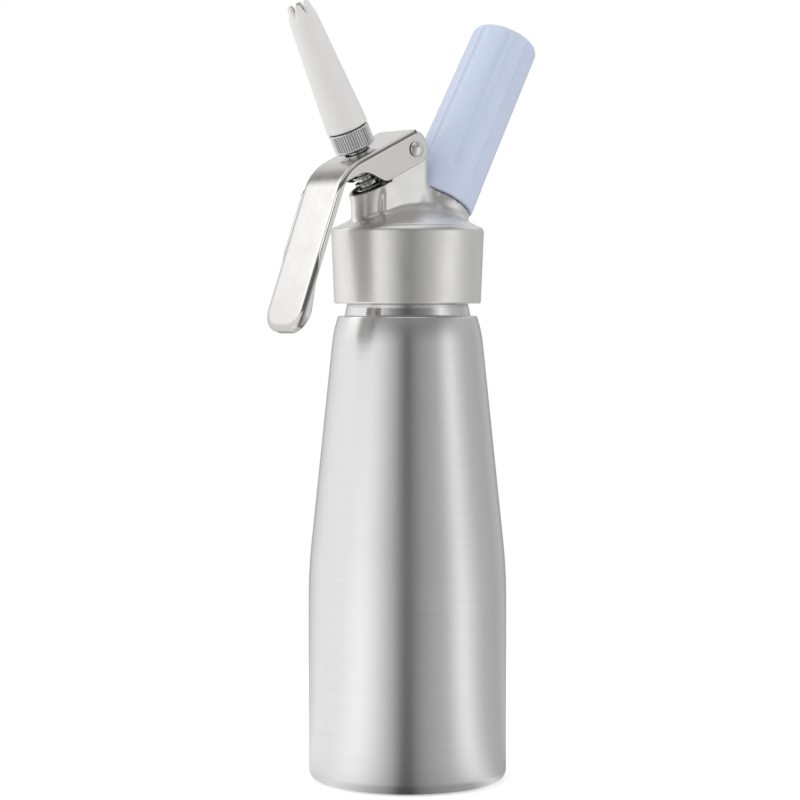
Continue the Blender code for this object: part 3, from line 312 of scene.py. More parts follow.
bottle_grid = threaded(turned_grid(bottle_outline, 192), 195.0, 206.4, neck_pitch, 0.6, 3.0, 23.9, 24.3)
bottle = skin("bottle_body_piece", bottle_grid)
dress(bottle, "bottle_body", "bottle_steel", bottle_steel, "bottle")
bottle.data.materials.append(neck_steel)
middle = np.zeros(len(bottle.data.polygons) * 3)
bottle.data.polygons.foreach_get("center", middle)
middle = middle.reshape(-1, 3) * 1000
on_neck = (middle[:, 2] > 187.75) & (np.hypot(middle[:, 0], middle[:, 1]) > 22.6)
bottle.data.polygons.foreach_set("material_index", on_neck.astype(np.int32))

# Head gasket
# A flat silicone ring with a thin lip, pressed between the neck's rim and the head's ceiling.
silicone = new_finish("pale_silicone", (0.72, 0.71, 0.67), 0.55, 0.0, Subsurface_Weight=0.1)
between(silicone, grain(silicone, (900, 900, 900)), (0.70, 0.69, 0.65), (0.74, 0.73, 0.69), "Base Color")
between(silicone, grain(silicone, (300, 300, 300)), 0.5, 0.62, "Roughness")
gasket = turned("head_gasket_ring", [
    (21.6, 208.3, 0.3), (24.4, 208.3, 0.4), (24.4, 209.7, 0.4), (21.6, 209.7, 0.3)])
dress(gasket, "gasket_ring", "pale_silicone", silicone, "head_gasket")

# Head
# One aluminium die casting: a turned skirt with the neck's thread inside, and above it a dome, the column
# that carries the valve's cup, the block under the lever and the boss for the charger. Satin blasted.
head_alloy = new_finish("satin_head_alloy", (0.87, 0.865, 0.855), 0.38, 1.0)
speckle = grain(head_alloy, (2600, 2600, 2600), detail=2)
between(head_alloy, speckle, (0.83, 0.825, 0.815), (0.91, 0.905, 0.895), "Base Color")
between(head_alloy, grain(head_alloy, (120, 120, 120)), 0.34, 0.42, "Roughness")
relief(head_alloy, speckle, 0.00002, 0.4)

skirt_outline = rounded([
    (24.9, 193.4, 0.2), (25.7, 192.6, 0.2), (29.1, 192.6, 0.2), (29.6, 193.1, 0.3), (30.9, 223.6, 2.6),
    (28.45, 223.6, 0.15), (28.35, 223.1, 0.1), (27.4, 222.6, 0), (25.6, 212.0, 0), (25.3, 210.6, 0),
    (24.9, 210.4, 0)], turn=radians(7))
wall_rows = np.linspace(209.6, 194.2, 90)
skirt_outline = np.concatenate([skirt_outline, np.stack([0 * wall_rows + 24.9, wall_rows], 1)])
skirt_grid = threaded(turned_grid(skirt_outline, 160), 195.0, 207.0, neck_pitch, -0.5, 3.4, 24.8, 25.0)
skirt = skin("head_skirt", skirt_grid, closed_rows=True)
dress(skirt, "head_body", "head_metal", head_alloy, "head")

valve_tilt = -radians(27)
valve_foot = (0, 0, 203.5)
charger_tilt = radians(28.2)
charger_foot = (15.0, 0, 233.97)


def filleted_union(a, b, radius):
    """Two bodies as one, from their distances, with a hollow fillet where they meet."""
    reach_a, reach_b = np.maximum(radius - a, 0), np.maximum(radius - b, 0)
    return np.maximum(radius, np.minimum(a, b)) - np.hypot(reach_a, reach_b)


def rounded_common(a, b, radius):
    """What lies in both bodies, from their distances, with the edge between them rounded."""
    reach_a, reach_b = np.maximum(radius + a, 0), np.maximum(radius + b, 0)
    return np.minimum(-radius, np.maximum(a, b)) + np.hypot(reach_a, reach_b)


def casting_distance(x, y, z):
    """The signed distance, roughly, from a point to the casting's skin, below zero inside.

    Dome: a sphere cut off at the skirt. Column: a disc at each height that widens to the cup. Web: a slab
    between two planes that slant a little, with round corners. Column and web are cut by the cup's mouth.
    Above it the slab goes on as the block, and in front of that as two ears outside a cone about the valve's
    axis, both cut by the roof planes under the lever. The boss is a cylinder about the charger's axis, cut at
    its rim.
    """
    dome = np.sqrt(x * x + y * y + (z - 176.43) ** 2) - 55
    dome = rounded_common(dome, np.hypot(x, y) - 28.2, 0.4)
    side = np.abs(y)
    thick = 6.9 + 2.6 * np.clip((z - 229.6) / 10, 0, 1.1) ** 2
    column = np.hypot(x + 19.5, y) - thick
    slant = radians(3.3)
    flank = (side - 10.9) * cos(slant) - (x - 3.3) * sin(slant)
    web = rounded_common(rounded_common(flank, x - 3.3, 3.0), -19.0 - x, 1.5)
    along = x * sin(valve_tilt) + (z - valve_foot[2]) * cos(valve_tilt)
    beside = np.hypot(x * cos(valve_tilt) - (z - valve_foot[2]) * sin(valve_tilt), y)
    low = rounded_common(filleted_union(column, web, 1.5), along - 40.5, 0.45)
    cone = ((along - 17.5) * tan(radians(21.5)) - beside) * cos(radians(21.5))
    ears = np.maximum(web, np.maximum(-15.0 - x, cone))
    block = rounded_common(web, -10.6 - x, 1.6)
    top = np.minimum(low, np.minimum(block, ears))
    across, up = x + 5.1, z - 253.9
    level, squeezed = radians(25.6), radians(34.6)
    rest_roof = -across * sin(level) + up * cos(level) - 5.4
    squeezed_roof = -across * sin(squeezed) + up * cos(squeezed) - 5.4
    rear_roof = (across - 8.4) * sin(radians(40)) + (up - 1.4) * cos(radians(40))
    roof = rounded_common(np.maximum(rest_roof, squeezed_roof), rear_roof, 1.5)
    top = rounded_common(top, roof, 0.5)
    climb = (x - 15.0) * sin(charger_tilt) + (z - 233.97) * cos(charger_tilt)
    off_axis = np.hypot((x - 15.0) * cos(charger_tilt) - (z - 233.97) * sin(charger_tilt), y)
    boss = rounded_common(off_axis - 14.3, climb + 0.5, 0.5)
    upper = filleted_union(top, boss, 4.5)
    upper = np.where(climb > -0.5, np.maximum(upper, np.minimum(15.6 - off_axis, climb + 0.5)), upper)
    foot = 1.9 + 1.1 * np.clip((x + 20) / 12, 0, 1)
    return np.maximum(filleted_union(dome, upper, foot), 210.0 - z)


def casting_grid(columns=264, far_rows=250, near_rows=56):
    """The casting's skin as a grid closed both ways, round the valve's axis.

    Going round a column of the grid: up the valve's bore, floor and cup as a turned outline, then out along
    rays from a point inside the casting, whose angle from the valve's axis grows from the cup's lip to the
    bore's foot in the ceiling. Each ray ends where the distance first turns positive, found by walking along
    it in short steps and then halving the last one.
    """
    turn = 2 * pi * np.arange(columns) / columns
    bore = rounded([(6.7, 12.0, 0.3), (4.3, 12.0, 0.3), (4.3, 30.8, 0.3), (7.9, 30.8, 0.8), (7.9, 40.0, 0.0),
                    (8.3, 40.5, 0.0)], closed=False)
    inner = on_axis(turned_grid(bore, columns), valve_foot, valve_tilt)
    x_foot = 6.7 * np.cos(turn)
    height_foot = (210.0 - valve_foot[2] + x_foot * sin(valve_tilt)) / cos(valve_tilt)
    foot = on_axis(np.stack([x_foot, 6.7 * np.sin(turn), height_foot], -1)[None], valve_foot, valve_tilt)
    centre = on_axis(np.array([[[0, 0, 17.5]]]), valve_foot, valve_tilt)[0, 0]
    lip = np.arctan2(8.3, 40.5 - 17.5)
    end = np.arctan2(6.7, height_foot - 17.5)
    near = lip + (radians(24) - lip) * np.linspace(0, 1, near_rows)
    share = np.linspace(0, 1, far_rows + 1)[1:]
    near = np.broadcast_to(near[:, None], (near_rows, columns))
    far = radians(24) + (end - radians(24))[None] * share[:, None]
    angle = np.concatenate([near, far])[1:-1]
    ray = on_axis(np.stack([np.sin(angle) * np.cos(turn), np.sin(angle) * np.sin(turn), np.cos(angle)], -1),
                  (0, 0, 0), valve_tilt)

    def distance(reach):
        place = centre + ray * reach[..., None]
        return casting_distance(place[..., 0], place[..., 1], place[..., 2])

    reach = np.full(angle.shape, 3.0)
    going = np.ones(angle.shape, bool)
    step = 0.4
    for _ in range(170):
        going &= distance(reach) < 0
        reach = np.where(going, reach + step, reach)
        if not going.any():
            break
    high, low = reach, reach - step
    for _ in range(12):
        middle_reach = (high + low) / 2
        outside = distance(middle_reach) > 0
        high = np.where(outside, middle_reach, high)
        low = np.where(outside, low, middle_reach)
    return np.concatenate([foot, inner, centre + ray * high[..., None]])


casting = skin("head_casting", casting_grid(), closed_rows=True, sharp=radians(50))
dress(casting, "head_body", "head_metal", head_alloy, "head")

stub_outline = rounded([
    (0, -0.55, 0), (4.9, -0.55, 0.2), (4.9, 16.0, 0.3), (9.2, 16.0, 0.4), (9.8, 15.2, 0.3), (9.8, 1.2, 0.8),
    (10.2, -3.0, 0), (0, -3.0, 0)][::-1], closed=False)
stub_low = np.flatnonzero(np.abs(stub_outline[:, 0] - 9.8) < 1e-6)
stub_rows = np.linspace(2.6, 14.6, 90)
stub_outline = np.concatenate([stub_outline[:stub_low[0] + 1], np.stack([0 * stub_rows + 9.8, stub_rows], 1),
                               stub_outline[stub_low[-1]:]])
stub_grid = threaded(turned_grid(stub_outline, 96), 2.6, 15.0, 2.0, 0.45, 1.5, 9.7, 9.9)
stub = skin("charger_stub", on_axis(stub_grid, charger_foot, charger_tilt))
dress(stub, "head_body", "head_metal", head_alloy, "head")

# Valve
# A turned stainless stem with two rubber rings, a silicone seal under the seat, a wound spring in the cup and
# a domed nut that the lever presses on.
bright_steel = new_finish("turned_bright_steel", (0.62, 0.62, 0.62), 0.18, 1.0)
lathe_lines = grain(bright_steel, (2, 4000, 1), "UV")
between(bright_steel, lathe_lines, (0.58, 0.58, 0.58), (0.66, 0.66, 0.66), "Base Color")
between(bright_steel, grain(bright_steel, (200, 200, 200)), 0.15, 0.24, "Roughness")
relief(bright_steel, lathe_lines, 0.00001, 0.3)
black_rubber = new_finish("black_rubber", (0.03, 0.03, 0.032), 0.6, 0.0)
between(black_rubber, grain(black_rubber, (700, 700, 700)), 0.52, 0.7, "Roughness")
between(black_rubber, grain(black_rubber, (400, 400, 400)),
        (0.025, 0.025, 0.027), (0.035, 0.035, 0.038), "Base Color")
valve_line = (valve_foot, valve_tilt)
charger_line = (charger_foot, charger_tilt)

stem = turned("valve_stem_piece", [
    (0, 4.0, 0), (3.2, 4.0, 0.4), (3.2, 6.6, 0.2), (5.8, 6.6, 0.3), (5.8, 9.0, 0.3), (4.0, 9.0, 0.2),
    (4.0, 18.5, 0.1), (2.95, 18.5, 0.1), (2.95, 20.0, 0.1), (4.0, 20.0, 0.1), (4.0, 26.5, 0.1),
    (2.95, 26.5, 0.1),
    (2.95, 28.0, 0.1), (4.0, 28.0, 0.1), (4.0, 61.97, 0.4), (2.2, 61.97, 0.2), (2.2, 11.3, 0), (0, 11.3, 0)],
    64, closed=False, axis=valve_line)
dress(stem, "valve_body", "valve_steel", bright_steel, "valve_stem")
seal = turned("valve_seal_ring", [(4.3, 9.3, 0.2), (6.3, 9.3, 0.4), (6.3, 11.7, 0.6), (4.3, 11.7, 0.2)], 64,
              axis=valve_line)
dress(seal, "valve_body", "pale_silicone", silicone, "valve_seal")


def ring_grid(radius, thickness, height, steps=64, around=16):
    """A round-section ring: a circle of the ring's thickness carried round Z at its radius."""
    angle = 2 * pi * np.arange(around) / around
    outline = np.stack([radius + thickness / 2 * np.cos(angle), height + thickness / 2 * np.sin(angle)], 1)
    return turned_grid(outline, steps)


for name, height in (("stem_oring_lower", 19.25), ("stem_oring_upper", 27.25)):
    ring = skin(name + "_ring", on_axis(ring_grid(3.65, 0.8, height), *valve_line), closed_rows=True)
    dress(ring, "valve_body", "black_rubber", black_rubber, name)

seat_washer = turned("spring_seat_washer", [
    (4.3, 31.1, 0.1), (7.6, 31.1, 0.2), (7.6, 32.0, 0.2), (4.3, 32.0, 0.1)],
                     64, axis=valve_line)
dress(seat_washer, "head_body", "spring_steel", bright_steel, "spring_seat")

spring_steel = new_finish("wound_spring_steel", (0.58, 0.58, 0.58), 0.2, 1.0)
between(spring_steel, grain(spring_steel, (900, 900, 900)), 0.16, 0.26, "Roughness")
between(spring_steel, grain(spring_steel, (500, 500, 500)),
        (0.54, 0.54, 0.54), (0.62, 0.62, 0.62), "Base Color")


def spring_grid(radius, wire, low, high, turns, along=420, around=12):
    """A wire's circle carried up a helix whose first and last turns lie closed; its ends shrink to a point."""
    share = np.linspace(0, 1, along)
    angle = 2 * pi * turns * share
    climb = np.clip((share - 0.09) / 0.82, 0, 1)
    climb = climb * 0.9 + 0.1 * share
    height = low + (high - low) * climb
    rate = np.gradient(height, angle)
    size = wire * np.where((share == 0) | (share == 1), 0, 1)
    turn = 2 * pi * np.arange(around) / around
    tilt = np.arctan2(rate, radius)
    out = np.stack([np.cos(angle), np.sin(angle), 0 * angle], -1)
    up = np.stack([np.sin(angle) * np.sin(tilt), -np.cos(angle) * np.sin(tilt), np.cos(tilt)], -1)
    line = np.stack([radius * np.cos(angle), radius * np.sin(angle), height], -1)
    section = np.cos(turn)[None, :, None] * out[:, None] - np.sin(turn)[None, :, None] * up[:, None]
    return line[:, None] + section * size[:, None, None]


spring = skin("valve_spring_coil", on_axis(spring_grid(5.3, 0.5, 32.8, 48.07, 7), *valve_line))
dress(spring, "head_body", "spring_steel", spring_steel, "valve_spring")
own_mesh(spring)

collar_outline = np.concatenate([
    rounded([(4.3, 48.87, 0.1), (6.2, 48.87, 0.3), (6.2, 51.9, 0.0)], closed=False),
    np.stack([np.linspace(6.1, 4.3, 10), 53.27 - 16 + np.sqrt(256 - np.linspace(6.1, 4.3, 10) ** 2)], 1)])
collar = skin("valve_collar_nut", on_axis(turned_grid(collar_outline, 64), *valve_line), closed_rows=True)
dress(collar, "valve_body", "valve_steel", bright_steel, "valve_collar")

# Lever
# One piece of stainless sheet, pressed to a shallow tray with rounded edges, bent once, and cut out at both
# sides for the valve. Its two cheeks hang on the rivet. Mirror polished.
lever_steel = new_finish("polished_lever_steel", (0.61, 0.595, 0.585), 0.17, 1.0)
between(lever_steel, grain(lever_steel, (160, 160, 160)), 0.14, 0.21, "Roughness")
between(lever_steel, grain(lever_steel, (1500, 1500, 1500)),
        (0.59, 0.575, 0.565), (0.63, 0.615, 0.605), "Base Color")

sheet, half_width, edge_round, flange = 1.5, 12.7, 2.0, 4.2
plate_top, plate_rear, handle = 7.4, -2.8, 67.3
bend_reach, bend_angle, bend_radius = 34.9, radians(44.2), 19.0
end_corner = 9.0
lever_slope = radians(25.6)
pivot = (-5.1, 253.9)


def lever_top_line(s):
    """Place and outward direction at a length s along the plate, round the bend and down the handle."""
    reach = bend_radius * tan(bend_angle / 2)
    bend_start = bend_reach - reach - plate_rear
    arc = bend_radius * bend_angle
    turn = np.clip((s - bend_start) / bend_radius, 0, bend_angle)
    over = np.maximum(s - bend_start - arc, 0)
    flat = np.minimum(s, bend_start)
    u = plate_rear + flat + bend_radius * np.sin(turn) + over * np.cos(turn)
    v = plate_top - bend_radius * (1 - np.cos(turn)) - over * np.sin(turn)
    return np.stack([u, v], -1), np.stack([np.sin(turn), np.cos(turn)], -1)


def resampled(line, count):
    """The same line with count points, evenly spaced along its length."""
    length = np.concatenate([[0], np.cumsum(np.linalg.norm(np.diff(line, axis=0), axis=1))])
    at = np.linspace(0, length[-1], count)
    return np.stack([np.interp(at, length, line[:, k]) for k in range(line.shape[1])], -1)


def lever_grid(corner_columns=26, end_columns=8):
    """The tray as a grid: columns run round its rim from one rear corner to the other, rows go from the
    outer face's middle line out over the rounded edge, down the wall to its free edge and back inside.

    The rim in the flat sheet is a long side, a quarter circle and half of the end. The wall's free edge is
    the cheek's outline, the scallop and the flange, matched to the rim along its length.
    """
    total = bend_reach - bend_radius * tan(bend_angle / 2) - plate_rear + bend_radius * bend_angle
    total += handle - bend_radius * tan(bend_angle / 2)
    side_end = total - end_corner
    free_edge = rounded([
        (-2.8, 7.4, 0), (-5.8, 3.7, 4.0), (-5.8, -5.8, 5.5), (18.9, -5.8, 5.0), (26.2, 2.2, 8.0),
        (40.2, 2.2, 10.0), (60.0, -17.05, 0)], closed=False, turn=radians(4), ease=0.2)
    end_place, end_out = lever_top_line(np.array([side_end]))
    last = end_place[0] - end_out[0] * flange
    free_edge = np.concatenate([free_edge[:-1], last[None]])
    knots_s = np.array([0, 3.0, 10.0, 21.0, 29.0, 44.0, side_end])
    length = np.concatenate([[0], np.cumsum(np.linalg.norm(np.diff(free_edge, axis=0), axis=1))])

    def edge_length_at(place):
        return length[np.argmin(np.linalg.norm(free_edge - np.array(place), axis=1))]

    knots = ((-5.7, 0.0), (6.0, -5.8), (18.6, -5.0), (26.0, 1.6), (42.0, 0.5))
    knots_e = np.array([0, *map(edge_length_at, knots), length[-1]])
    fine = np.concatenate([np.linspace(0, 3.0, 34), np.linspace(3.0, 48.0, 92)[1:],
                           np.linspace(48.0, side_end, 24)[1:]])
    edge_at = np.interp(fine, knots_s, knots_e)
    free = np.stack([np.interp(edge_at, length, free_edge[:, k]) for k in range(2)], -1)
    quarter = np.linspace(0, pi / 2, corner_columns)[1:]
    rim_s = np.concatenate([fine, side_end + end_corner * np.sin(quarter), np.full(end_columns, total)])
    rim_y = np.concatenate([np.full(len(fine), half_width), half_width - end_corner * (1 - np.cos(quarter)),
                            np.linspace(half_width - end_corner, 0, end_columns + 1)[1:]])
    out_s = np.concatenate([0 * fine, np.sin(quarter), np.ones(end_columns)])
    out_y = np.concatenate([0 * fine + 1, np.cos(quarter), np.zeros(end_columns)])

    def place_at(s, y, depth):
        """A point of the tray from its place in the flat sheet and its depth under the outer face."""
        where, outward = lever_top_line(np.maximum(s, 0))
        flat = where - outward * depth[..., None]
        return np.stack([flat[..., 0], y + 0 * flat[..., 0], flat[..., 1]], -1)

    rows = []
    middle_s = np.minimum(rim_s, total - half_width * 0.75)
    for share in np.linspace(0, 1, 9)[:-1]:
        edge_s, edge_y = rim_s - out_s * edge_round, rim_y - out_y * edge_round
        rows.append(place_at(middle_s + (edge_s - middle_s) * share, edge_y * share, 0 * rim_s))
    for angle in np.linspace(0, pi / 2, 9):
        inset, depth = edge_round * (1 - sin(angle)), edge_round * (1 - cos(angle))
        rows.append(place_at(rim_s - out_s * inset, rim_y - out_y * inset, depth + 0 * rim_s))
    outer_top = rows[-1]
    outer_free = place_at(rim_s, rim_y, flange + 0 * rim_s)
    outer_free[:len(fine), 0] = free[:, 0]
    outer_free[:len(fine), 2] = free[:, 1]
    outer_free[0] = outer_top[0]
    inset = sheet
    inner_free = place_at(rim_s - out_s * inset, rim_y - out_y * inset, flange + 0 * rim_s)
    inner_free[:len(fine), 0] = free[:, 0]
    inner_free[:len(fine), 2] = free[:, 1]
    inner_top = place_at(rim_s - out_s * inset, rim_y - out_y * inset, sheet + 0.6 + 0 * rim_s)
    inner_free[0] = inner_top[0]
    fall = outer_free - outer_top
    size = np.maximum(np.linalg.norm(fall, axis=1, keepdims=True), 1e-6)
    soft = 0.35
    rows.append(outer_top + fall * np.minimum(0.3 / size, 0.2))
    for share in (0.25, 0.5, 0.75):
        rows.append(outer_top + fall * share)
    rows.append(outer_free - fall * np.minimum((soft + 0.2) / size, 0.2))
    inward = inner_free - outer_free
    deep = np.maximum(np.linalg.norm(inward, axis=1, keepdims=True), 1e-6)
    round_up = fall / size * np.minimum(soft, 0.3 * size)
    round_in = inward / deep * soft
    for angle in np.linspace(0, pi / 2, 4):
        rows.append(outer_free - round_up * (1 - sin(angle)) + round_in * (1 - cos(angle)))
    for angle in np.linspace(pi / 2, 0, 4):
        rows.append(inner_free - round_up * (1 - sin(angle)) - round_in * (1 - cos(angle)))
    rise = inner_top - inner_free
    for share in (0.2, 0.5, 0.8, 1.0):
        rows.append(inner_free + rise * share)
    for angle in np.linspace(pi / 2, 0, 5)[1:]:
        inset, depth = sheet + 0.6 * (1 - sin(angle)), sheet + 0.6 * (1 - cos(angle))
        rows.append(place_at(rim_s - out_s * inset, rim_y - out_y * inset, depth + 0 * rim_s))
    for share in np.linspace(1, 0, 9)[1:]:
        inset = sheet + 0.6
        edge_s, edge_y = rim_s - out_s * inset, rim_y - out_y * inset
        rows.append(place_at(middle_s + (edge_s - middle_s) * share, edge_y * share, sheet + 0 * rim_s))
    return np.stack(rows)


def lever_in_place(grid):
    """From the lever's own plane, with the plate level, to its place on the rivet."""
    u, y, v = grid[..., 0], grid[..., 1], grid[..., 2]
    return np.stack([pivot[0] - u * cos(lever_slope) - v * sin(lever_slope), y,
                     pivot[1] - u * sin(lever_slope) + v * cos(lever_slope)], -1)


half_lever = lever_in_place(lever_grid())
other_half = half_lever[:, ::-1].copy()
other_half[..., 1] *= -1
whole = np.concatenate([half_lever, other_half[:, 1:]], axis=1)[:, ::-1]
lever = skin("lever_tray", whole, round_rows=False)
close = bmesh.new()
close.from_mesh(lever.data)
bmesh.ops.remove_doubles(close, verts=close.verts, dist=2e-6)
rim = [edge for edge in close.edges if len(edge.link_faces) == 1]
bmesh.ops.holes_fill(close, edges=rim, sides=0)
close.to_mesh(lever.data)
close.free()


def bored(piece, name, radius, low, high, axis, steps=64):
    """Cuts a round hole through a piece along a tilted axis, and keeps the cut mesh."""
    cutter = turned(name, [(0, low, 0), (radius, low, 0), (radius, high, 0), (0, high, 0)], steps, closed=False,
                    axis=axis)
    hole = piece.modifiers.new(name, "BOOLEAN")
    hole.object = cutter
    hole.operation = "DIFFERENCE"
    hole.solver = "EXACT"
    bpy.context.view_layer.update()
    cut = bpy.data.meshes.new_from_object(piece.evaluated_get(bpy.context.evaluated_depsgraph_get()))
    piece.modifiers.remove(hole)
    piece.data = cut
    bpy.data.objects.remove(cutter)


bored(lever, "stem_way", 5.3, 50, 58, (valve_foot, valve_tilt))
lever.data.shade_smooth()
lever.data.set_sharp_from_angle(angle=radians(40))
dress(lever, "lever_body", "lever_steel", lever_steel, "lever")

# Rivet
# A steel shank through both cheeks and the block, headed over to a low dome at each end.
rivet_steel = new_finish("satin_rivet_steel", (0.88, 0.87, 0.86), 0.32, 1.0)
between(rivet_steel, grain(rivet_steel, (900, 900, 900)), 0.28, 0.36, "Roughness")
between(rivet_steel, grain(rivet_steel, (1500, 1500, 1500)),
        (0.85, 0.84, 0.83), (0.91, 0.90, 0.89), "Base Color")
pin_radius, pin_head, pin_rise = 2.0, 3.25, 1.6
pin_seat = half_width + 0.3
cap_radius = (pin_head ** 2 + pin_rise ** 2) / (2 * pin_rise)
cap_angle = np.linspace(0, np.arcsin(pin_head / cap_radius) * 0.97, 14)
cap_height = pin_seat + pin_rise - cap_radius * (1 - np.cos(cap_angle))
cap = np.stack([cap_radius * np.sin(cap_angle), cap_height], 1)
edge = np.array([[pin_head, pin_seat + 0.25], [pin_head, pin_seat + 0.08], [pin_head - 0.08, pin_seat]])
one_end = np.concatenate([cap, edge, [[pin_radius + 0.1, pin_seat], [pin_radius, pin_seat - 0.1]]])
other_end = one_end[::-1] * (1, -1)
pin_grid = turned_grid(np.concatenate([one_end, other_end])[::-1], 64)
pin_grid = np.stack([pivot[0] + pin_grid[..., 0], -pin_grid[..., 2], pivot[1] + pin_grid[..., 1]], -1)
rivet = skin("lever_rivet", pin_grid)
dress(rivet, "head_body", "pin_steel", rivet_steel, "lever_pin")

# Nozzle adapter
# A nickel-plated brass ring with a fine straight knurl, screwed on the stem; its spigot carries the tip.
plate_finish = new_finish("plated_adapter", (0.72, 0.72, 0.72), 0.22, 1.0)
between(plate_finish, grain(plate_finish, (600, 600, 600)), 0.18, 0.28, "Roughness")
between(plate_finish, grain(plate_finish, (900, 900, 900)),
        (0.69, 0.69, 0.69), (0.75, 0.75, 0.75), "Base Color")
knurl_teeth, knurl_depth = 48, 0.5


def adapter_grid(steps=576):
    """The adapter's outline carried round its axis; in the knurled band the radius falls into V grooves, a
    triangle wave of the angle with flat crests, which fades out within half a millimetre of the ends."""
    low, top, spigot_top = 56.77, 65.27, 72.97
    outline = rounded([
        (4.3, low, 0.2), (7.3, low, 0.3), (8.2, low + 0.9, 0.4), (8.2, top, 0.35), (6.5, top, 0.2),
        (6.1, top + 0.8, 0.4), (6.1, spigot_top, 0.5), (3.4, spigot_top, 0.3), (3.4, 63.77, 0),
        (4.3, 63.77, 0)])
    band = np.linspace(low + 1.05, top - 0.4, 24)
    at = np.flatnonzero((np.abs(outline[:, 0] - 8.2) < 1e-6) & (outline[:, 1] > low + 0.9)
                        & (outline[:, 1] < top - 0.2))
    outline = np.concatenate([outline[:at[0]], np.stack([0 * band + 8.2, band], 1), outline[at[-1] + 1:]])
    grid = turned_grid(outline, steps)
    radius = np.hypot(grid[..., 0], grid[..., 1])
    angle = 2 * pi * np.arange(steps) / steps
    height = outline[:, 1, None]
    fade = np.clip((height - low - 0.95) / 0.45, 0, 1) * np.clip((top - 0.35 - height) / 0.35, 0, 1)
    fade = fade * (outline[:, 0, None] > 8.0)
    wave = np.abs((knurl_teeth * angle / (2 * pi)) % 1 - 0.5) * 2
    groove = np.clip(1.25 * wave - 0.25, 0, 1)
    share = 1 - knurl_depth * fade * groove / np.maximum(radius, 1e-6)
    grid[..., 0] *= share
    grid[..., 1] *= share
    return grid


adapter = skin("knurled_adapter", on_axis(adapter_grid(), *valve_line), closed_rows=True, sharp=radians(60))
dress(adapter, "adapter_body", "adapter_steel", plate_finish, "nozzle_adapter")
stem_seal = turned("stem_seal_washer", [
    (2.4, 62.27, 0.1), (4.0, 62.27, 0.2), (4.0, 63.47, 0.2), (2.4, 63.47, 0.1)], 48, axis=valve_line)
dress(stem_seal, "stem_seal_body", "pale_silicone", silicone, "stem_seal")
tip_seal = turned("tip_seal_washer", [
    (3.7, 73.27, 0.1), (6.0, 73.27, 0.2), (6.0, 74.07, 0.2), (3.7, 74.07, 0.1)], 48, axis=valve_line)
dress(tip_seal, "tip_seal_body", "pale_silicone", silicone, "tip_seal")

# Decorating tip
# Injection-moulded white plastic, matt: a long taper that curls in to a mouth with six V notches.
tip_plastic = new_finish("white_tip_plastic", (0.78, 0.765, 0.76), 0.5, 0.0, Subsurface_Weight=0.15,
                         Specular_IOR_Level=0.4)
tip_shader = tip_plastic.node_tree.nodes["Principled BSDF"]
tip_shader.inputs["Subsurface Radius"].default_value = (0.004, 0.0035, 0.003)
between(tip_plastic, grain(tip_plastic, (60, 60, 60)), (0.77, 0.755, 0.75), (0.79, 0.775, 0.77), "Base Color")
between(tip_plastic, grain(tip_plastic, (1800, 1800, 1800)), 0.45, 0.58, "Roughness")
relief(tip_plastic, grain(tip_plastic, (2200, 2200, 2200)), 0.00002, 0.25)


def tip_grid(steps=288):
    """The tip's wall carried round its axis. Above the notches' floor every point is drawn down by the
    same share, so that the top row follows a zigzag: full height but for six V notches."""
    foot, top, depth, half_notch = 65.77, 118.37, 4.0, 1.3
    outer = rounded([(6.6, foot, 0), (8.5, foot, 0.8), (5.8, 112.37, 9.0), (4.5, top, 0)], closed=False,
                    turn=radians(3), ease=1.0)
    inner = rounded([(3.3, top, 0), (4.6, 112.37, 7.8), (5.2, 74.37, 0), (6.6, 74.37, 0), (6.6, foot, 0)],
                    closed=False, turn=radians(3), ease=1.0)
    outer = np.concatenate([outer[:-1], resampled(outer[-2:], 10)[1:]])
    inner = np.concatenate([resampled(inner[:2], 10)[:-1], inner[1:]])
    lip = np.array([[4.42, top], [4.25, top + 0.0]])
    outline = np.concatenate([outer, lip, [[3.55, top], [3.38, top]], inner])
    grid = turned_grid(outline, steps)
    angle = 2 * pi * np.arange(steps) / steps
    off = (angle - radians(20) + pi / 6) % (pi / 3) - pi / 6
    notch = depth * np.clip(1 - np.abs(off) * 4.5 / half_notch, 0, 1)
    floor = top - depth - 0.6
    above = np.clip((grid[..., 2] - floor) / (top - floor), 0, 1)
    grid[..., 2] -= above * notch[None]
    return grid


tip = skin("decorating_tip", on_axis(tip_grid(), *valve_line), closed_rows=True, sharp=radians(40))
dress(tip, "tip_body", "tip_plastic", tip_plastic, "nozzle_tip")

# Charger port
# From the bore's floor up: a rubber valve disc, the hollow piercing pin, the ring that holds it and the
# rubber ring that the cartridge's neck presses on.
port_parts = (
    ("check_valve", "check_valve_disc", "black_rubber", black_rubber,
     [(0, -0.3, 0), (4.6, -0.3, 0.2), (4.6, 0.6, 0.2), (0, 0.6, 0)]),
    ("piercing_pin", "piercing_pin_piece", "pin_steel", bright_steel,
     [(0, 0.9, 0), (4.6, 0.9, 0.2), (4.6, 2.9, 0.2), (1.1, 2.9, 0.2), (1.1, 5.9, 0.1), (0.3, 7.5, 0.1), (0, 7.5, 0)]),
    ("pin_retainer", "pin_retainer_ring", "pin_steel", bright_steel,
     [(1.6, 3.2, 0.1), (4.6, 3.2, 0.2), (4.6, 5.4, 0.2), (1.6, 5.4, 0.3)]),
    ("charger_seal", "charger_seal_ring", "black_rubber", black_rubber,
     [(1.6, 5.7, 0.2), (4.6, 5.7, 0.3), (4.6, 7.5, 0.3), (1.6, 7.5, 0.3)]))
for node, name, slot, look, corners in port_parts:
    part = turned(name, corners, 48, closed=corners[0][0] > 0, axis=charger_line)
    dress(part, "head_body", slot, look, node)

